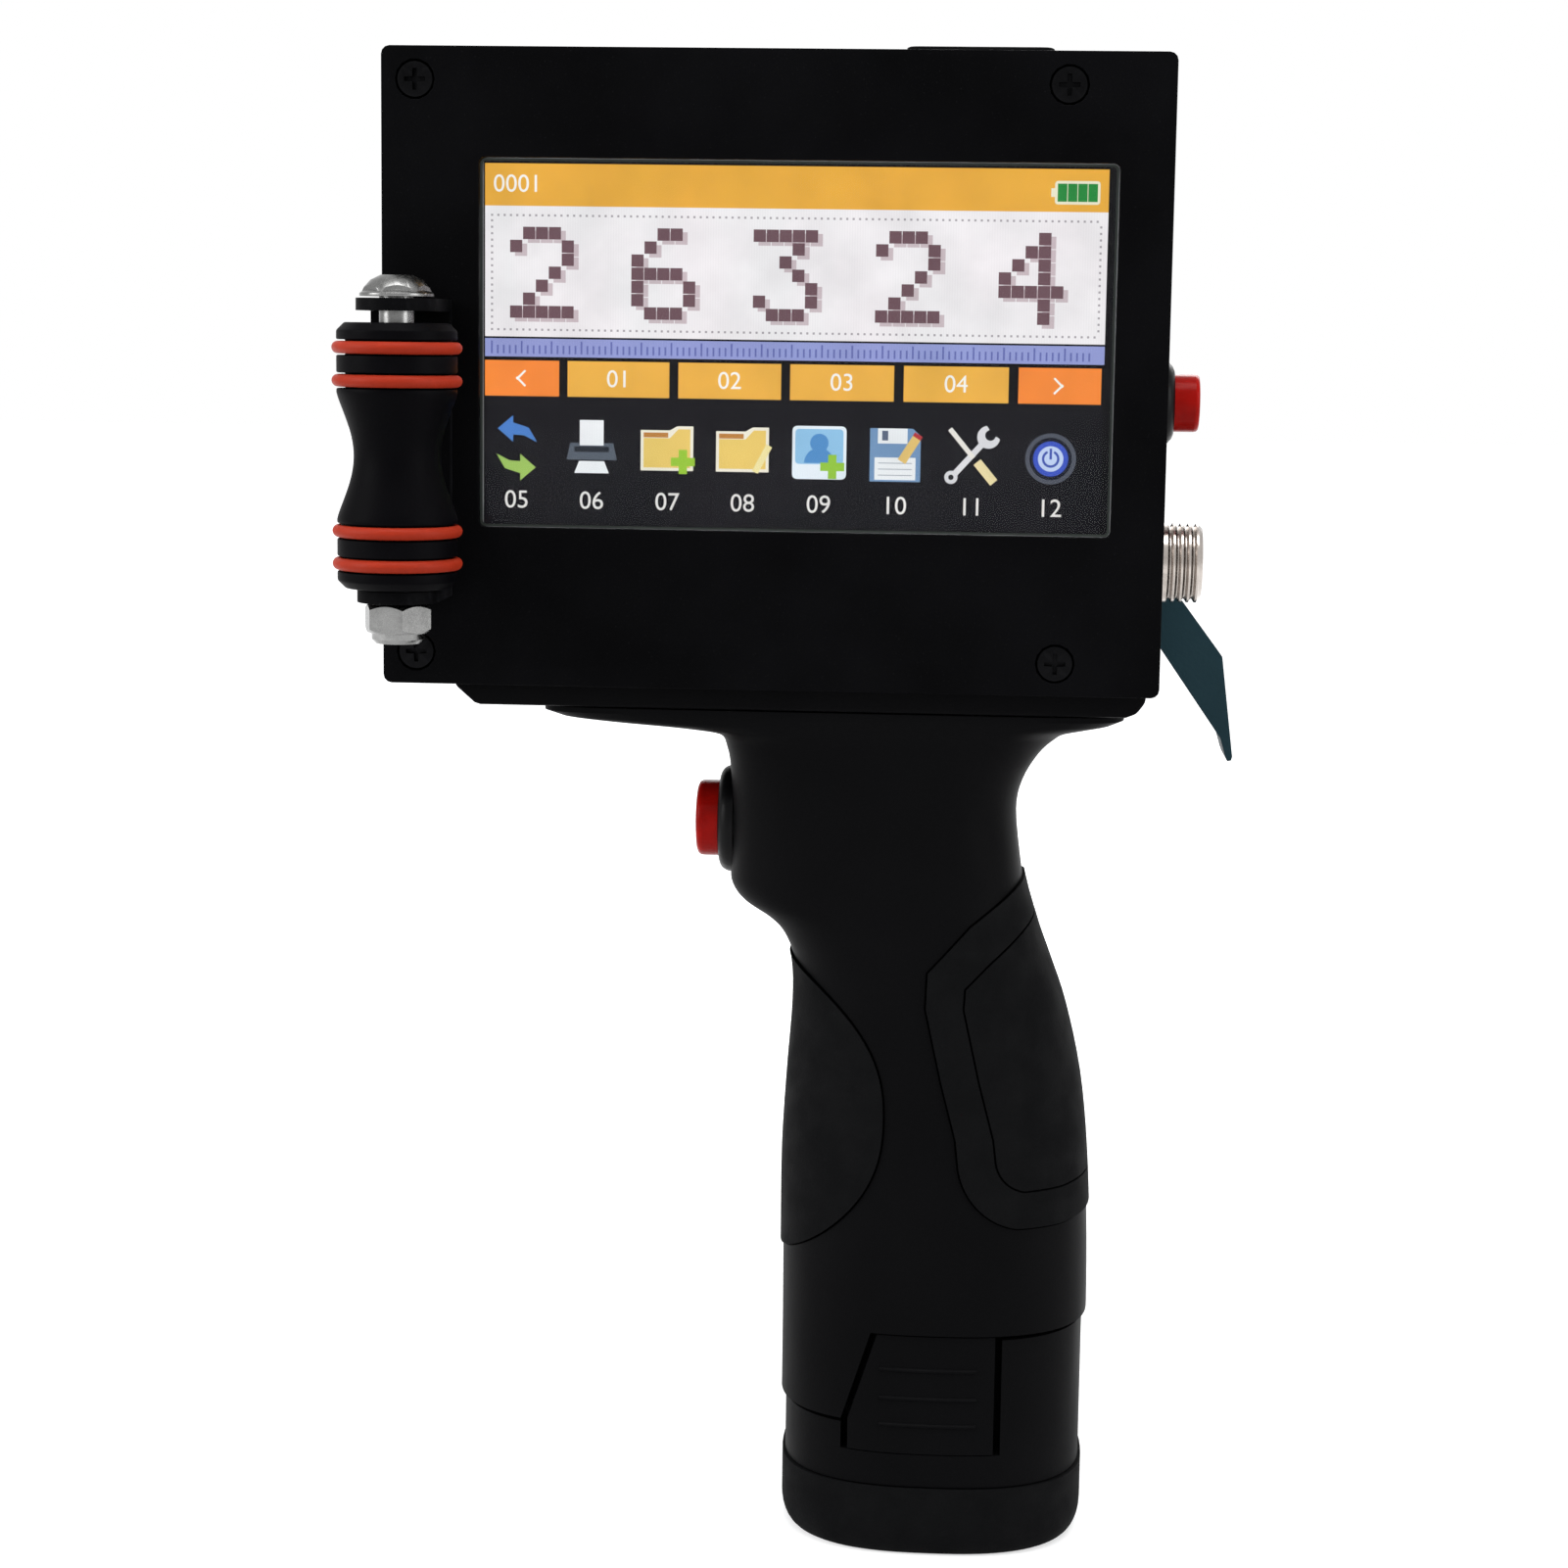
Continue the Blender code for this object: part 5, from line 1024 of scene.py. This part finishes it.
# Level sections down the handle: height, trigger side, rear side, half depth, squareness.
handle_rows = [
    (flange_top, -69.0, 30.5, 22.4, 9.0),
    (flange_top - 0.9, -69.0, 30.5, 22.4, 9.0),
    (flange_top - 1.9, -66.3, 28.4, 21.9, 8.0),
    (flange_top - 2.7, -59.5, 25.0, 21.5, 7.0),
    (flange_top - 3.7, -48.0, 21.2, 20.9, 5.5),
    (flange_top - 5.1, -40.0, 19.2, 20.4, 4.2),
    (flange_top - 8.0, -38.2, 16.4, 20.2, 3.5),
    (flange_top - 13.0, -37.5, 13.6, 20.0, 3.1),
    (129.0, -37.4, 12.6, 20.0, 3.0),
    (119.0, -37.4, 13.7, 20.0, 3.0),
    (115.6, -37.2, 14.4, 20.1, 2.9),
    (112.8, -35.2, 15.2, 20.3, 2.8),
    (110.0, -30.8, 16.1, 20.5, 2.8),
    (107.0, -28.0, 17.1, 20.8, 2.7),
    (102.0, -26.1, 19.0, 21.1, 2.6),
    (94.0, -25.8, 21.8, 21.8, 2.6),
    (82.0, -26.6, 24.6, 22.7, 2.6),
    (68.0, -27.3, 26.2, 23.5, 2.6),
    (52.0, -27.3, 27.0, 24.2, 2.6),
    (36.0, -27.2, 27.2, 24.5, 2.6),
    (20.0, -27.2, 27.0, 24.5, 2.6),
]


def eased(rows, steps=4, plain=2):
    """Rows with smooth ones between them, after the first plain rows."""
    made = list(rows[:plain])
    for i in range(plain, len(rows) - 1):
        before, start, end = rows[i - 1], rows[i], rows[i + 1]
        after = rows[min(i + 2, len(rows) - 1)]
        for k in range(steps):
            t = k / steps
            row = []
            for p0, p1, p2, p3 in zip(before, start, end, after):
                slope, curve = 2 * p0 - 5 * p1 + 4 * p2 - p3, 3 * p1 - p0 - 3 * p2 + p3
                row.append(0.5 * (2 * p1 + (p2 - p0) * t + slope * t * t + curve * t ** 3))
            made.append(tuple(row))
    made.append(rows[-1])
    return made


def bulged(value, power):
    """A cosine or sine pushed outwards, which squares a circle off."""
    return math.copysign(abs(value) ** (2 / power), value)


def skin(name, rows):
    """A closed skin: a disc extruded from level to level, each level drawn to its section."""
    clear_selection()
    levels = [row[0] * MM for row in rows]
    bpy.ops.mesh.primitive_circle_add(vertices=96, radius=0.05, fill_type="NGON", location=(0, 0, 0))
    obj = bpy.context.object
    obj.name = obj.data.name = name
    bpy.ops.object.mode_set(mode="EDIT")
    bpy.ops.mesh.select_all(action="SELECT")
    bpy.ops.transform.translate(value=(0, 0, levels[0]))
    for before, after in zip(levels, levels[1:]):
        push((0, 0, after - before))
    bpy.ops.object.mode_set(mode="OBJECT")
    for vertex in obj.data.vertices:
        nearest = min(range(len(levels)), key=lambda i: abs(levels[i] - vertex.co.z))
        _, left, right, half, power = rows[nearest]
        angle = math.atan2(vertex.co.y, vertex.co.x)
        vertex.co.x = ((left + right) / 2 + (right - left) / 2 * bulged(math.cos(angle), power)) * MM
        vertex.co.y = half * bulged(math.sin(angle), power) * MM
    bpy.ops.object.mode_set(mode="EDIT")
    close_up()
    return obj


def drawn_in(inset, ease=2):
    """The handle's sections drawn in by an inset below the flange, and open above it."""
    rows = []
    for z, left, right, half, power in handle_rows:
        if z > flange_top - 3.0:
            continue
        if z > flange_top - 8.0:
            left, right = max(left, -38.5), min(right, 16.5)
        rows.append((z, left + inset, right - inset, half - inset, power))
    first, last = rows[0], rows[-1]
    mouth = (flange_top + 1.0, first[1] - 2, first[2] + 2, first[3], first[4])
    return [mouth] + eased(rows, ease, 1) + [(18.0, *last[1:])]


def side_prism(name, outline):
    return prism(name, [outline], "Y", -40, 40)


def rim_outline(drop):
    """The space under the handle's stepped lower edge, lowered by an amount."""
    left, right = RIM_SLOPE
    run, rise = right - left, RIM_REAR - RIM_FRONT
    shift = drop * (math.hypot(run, rise) - run) / rise
    front, rear = RIM_FRONT - drop, RIM_REAR - drop
    return [(-60, front), (left + shift, front), (right + shift, rear), (60, rear), (60, -10), (-60, -10)]


def front_pad_outline(grow):
    """The bow-shaped pad on the trigger side."""
    top, bottom = 103.8 + grow, 51.0 - grow
    middle, half, steps = (top + bottom) / 2, (top - bottom) / 2, 36
    points = [(-40, top)]
    for i in range(steps + 1):
        t = -1 + 2 * i / steps
        points.append((-9.2 + grow - 18.5 * abs(t) ** 2.4, middle - half * t))
    return points + [(-40, bottom)]


def rear_pad_outline(grow):
    """The pad on the rear side: a slanted top, a nearly straight front edge, a round lower corner."""
    edge = [(22.0, 116.0 + 1.1 * grow), (8.4 - 0.5 * grow, 104.2 + grow), (4.6 - grow, 100.4 + 0.4 * grow)]
    edge += [(4.4 - grow, 97.0), (7.3 - grow, 84.5), (10.0 - grow, 74.5)]
    edge += arc((16.6, 71.6), 6.2 + grow, 190, 260, 12)
    return edge + [(22.0, 65.6 - grow), (40, 68.0 - grow), (40, 126.0 + 0.8 * grow)]


def handle_shell():
    """The whole handle: wall, screw bosses, stepped lower edge, pad seats, trigger hole and screw wells."""
    obj = skin("handle_shell", eased(handle_rows))
    combine(obj, skin("hollow", drawn_in(HANDLE_WALL)))
    bosses = None
    for number in (1, 2, 3):
        screw = middle_of(f"handle_screw_{number}")
        boss = rod("boss", 4.3, -30, 30, (screw.x, 0.0, screw.z), "+Y", 32)
        combine(boss, skin("inside", drawn_in(HANDLE_WALL / 2)), "INTERSECT")
        bosses = combine(bosses, boss, "UNION") if bosses else boss
    combine(obj, bosses, "UNION")
    combine(obj, side_prism("rim", rim_outline(0.0)))
    for outline in (front_pad_outline(SEAM), rear_pad_outline(BAND + SEAM)):
        seat = side_prism("seat", outline)
        combine(seat, skin("inside", drawn_in(PAD_DEPTH + GAP, 4)))
        combine(obj, seat)
    for start, end, radius in ((40.4, 36.5, 9.75), (39.4, 30.4, 8.5)):
        combine(obj, rod("hole", radius, end, start, foot_of_axis("trigger_bezel", "-X"), "-X"))
    for number in (1, 2, 3):
        node = f"handle_screw_{number}"
        low, high = box(node)
        seat, start, head = high.y - SCREW_HEAD - GAP, low.y - GAP, 3.3
        well = [(0.0, start), (1.75, start), (1.75, seat), (head, seat), (head, 30), (0.0, 30)]
        combine(obj, turned("well", well, foot_of_axis(node, "+Y"), "+Y", 32))
    return obj


def handle_halves():
    """The shell parted along its middle, with a fine gap."""
    whole = handle_shell()
    for kind, place, side in (("front", "near", -1), ("back", "far", 1)):
        obj = twin(whole, f"grip_half_{place}")
        near, far = sorted((side * 0.15, side * 60))
        combine(obj, block("half", (-90, near, 0), (90, far, 200)), "INTERSECT")
        settle(obj, "black_plastic", f"handle_{kind}_half", angle=30)
    bpy.data.objects.remove(whole, do_unlink=True)


def grip_pad(node, name, outline, hole=None):
    """A rubber skin let into the handle's surface, standing a little proud of it."""
    rows = [(z, x - PROUD, rear + PROUD, half + PROUD, power) for z, x, rear, half, power in handle_rows]
    obj = skin(name, eased(rows))
    combine(obj, skin("inside", drawn_in(PAD_DEPTH, 4)))
    combine(obj, side_prism("outline", outline), "INTERSECT")
    if hole:
        combine(obj, side_prism("hole", hole))
    soften(obj, 0.28, 2, 50.0)
    settle(obj, "black_rubber", node, angle=40)


def grip_pads():
    grip_pad("front_grip_pad", "palm_pad", front_pad_outline(0.0))
    grip_pad("rear_grip_pad", "thumb_pad", rear_pad_outline(0.0))
    grip_pad("rear_grip_band", "thumb_pad_band", rear_pad_outline(BAND), rear_pad_outline(SEAM))


def handle_screws():
    """Pan-head cross-recess screws, sunk in their wells."""
    for number in (1, 2, 3):
        node = f"handle_screw_{number}"
        low, high = box(node)
        x, _, z = centre = foot_of_axis(node, "+Y")
        top, seat = high.y, high.y - SCREW_HEAD
        profile = [(0.0, top), (2.2, top - 0.05), (2.8, top - 0.5), (3.0, seat + 0.7), (3.0, seat)]
        profile += [(1.45, seat), (1.45, low.y + 1.0), (0.8, low.y), (0.0, low.y)]
        obj = turned(f"grip_screw_{number}", profile, centre, "+Y", 40)
        combine(obj, cross_cutter((x, top, z), 1))
        settle(obj, "black_steel", node)


# -------- battery

BATTERY, FOOT, TOWER, CUP = (26.4, 24.1), (26.9, 24.6), (20.3, 19.0), (22.5, 20.2)
SQUARE, TOWER_SQUARE = 2.6, 3.0
TAB_RIGHT, TAB_DEPTH, SLOT, HINGE_GAP, RIM_GAP = 11.0, 1.7, 1.2, 0.18, 0.80
tower_top = box("battery_case")[1].z
foot_top = box("battery_foot")[1].z
tab_low = box("battery_latch_front")[0].z


def straight(name, top, bottom, half, power=SQUARE):
    x, y = half
    return skin(name, [(top, -x, x, y, power), (bottom, -x, x, y, power)])


def shrunk(half, inset):
    return [value - inset for value in half]


def tab_outline(side_gap, low_gap, top):
    """The latch tab from the side; its left edge follows the slope of the handle's rim."""
    left, right = RIM_SLOPE
    slope = (right - left) / (RIM_REAR - RIM_FRONT)
    start, end, bottom = left + SLOT - side_gap, TAB_RIGHT + side_gap, tab_low - low_gap
    corner = start + slope * (top - RIM_FRONT)
    return [(start, bottom), (end, bottom), (end, top), (corner, top), (start, RIM_FRONT)]


def battery_case():
    """The shell below the handle's rim and the tower inside it, with a space behind each latch tab."""
    obj = straight("battery_shell", RIM_REAR + 4, foot_top + GAP, BATTERY)
    combine(obj, side_prism("rim", rim_outline(RIM_GAP)), "INTERSECT")
    combine(obj, straight("tower", tower_top, foot_top + 1, TOWER, TOWER_SQUARE), "UNION")
    space = side_prism("space", tab_outline(SLOT, HINGE_GAP, RIM_REAR + 6))
    combine(space, straight("back", 60, 1, shrunk(BATTERY, TAB_DEPTH + 2.0 + GAP)))
    combine(obj, space)
    combine(obj, straight("cavity", tower_top - 1.2, 5, shrunk(TOWER, 1), TOWER_SQUARE))
    combine(obj, block("throat", (-6, -4, tower_top - 4), (6, 4, tower_top + 1)))
    settle(obj, "black_plastic", "battery_case", "battery", 30)


def thumb_rib(z, near, far):
    """A thin rib across a latch tab, with a rounded crest."""
    x, y = BATTERY
    crest = ((0.55, -0.3), (0.30, 0.22), (0.12, 0.36), (-0.12, 0.36), (-0.30, 0.22), (-0.55, -0.3))
    rib = skin("rib", [(z + rise, -x - stand, x + stand, y + stand, SQUARE) for rise, stand in crest])
    combine(rib, block("keep", (-9.0, near, z - 2), (8.0, far, z + 2)), "INTERSECT")
    return combine(rib, straight("core", z + 3, z - 3, shrunk(BATTERY, 1.0)))


def latch_tabs():
    """Both latch tabs, each with three thin ribs for the thumb."""
    for node, name, side, body in (
        ("battery_latch_front", "latch_tab_near", -1, "battery_tab_front"),
        ("battery_latch_back", "latch_tab_far", 1, "battery_tab_back"),
    ):
        near, far = sorted((side * 5, side * 40))
        obj = straight(name, 60, 5, BATTERY)
        combine(obj, straight("inside", 70, 1, shrunk(BATTERY, TAB_DEPTH)))
        combine(obj, prism("tab", [tab_outline(0.0, 0.0, RIM_REAR - GAP)], "Y", near, far), "INTERSECT")
        for z in (33.6, 28.5, 23.7):
            combine(obj, thumb_rib(z, near, far), "UNION")
        settle(obj, "black_plastic", node, body, 30)


def battery_foot():
    """A deep cup with a rounded lower edge."""
    x, y = FOOT
    drop, inset, steps = 4.6, 2.4, 8
    rows = [(foot_top, -x, x, y, SQUARE), (drop, -x, x, y, SQUARE)]
    for i in range(1, steps + 1):
        a = math.pi / 2 * i / steps
        lost = inset * (1 - math.cos(a))
        rows.append((drop - drop * math.sin(a), -x + lost, x - lost, y - lost, SQUARE))
    obj = skin("battery_base", rows)
    combine(obj, straight("cup", foot_top + 1, 8.4, CUP))
    settle(obj, "black_rubber", "battery_foot", "battery", 30)


# -------- all of it

add_camera()
add_stage()
dress_frame()
box_shapes()
box_screws()
kept_shape("touch_glass", "cover_glass_sheet", "glass", 0.15)
display()
glass_edge()
roller()
roller_rings()
roller_bolt()
roller_nut()
roller_bracket()
power_button()
connector()
trigger()
lever()
handle_halves()
grip_pads()
handle_screws()
battery_case()
latch_tabs()
battery_foot()
clear_selection()
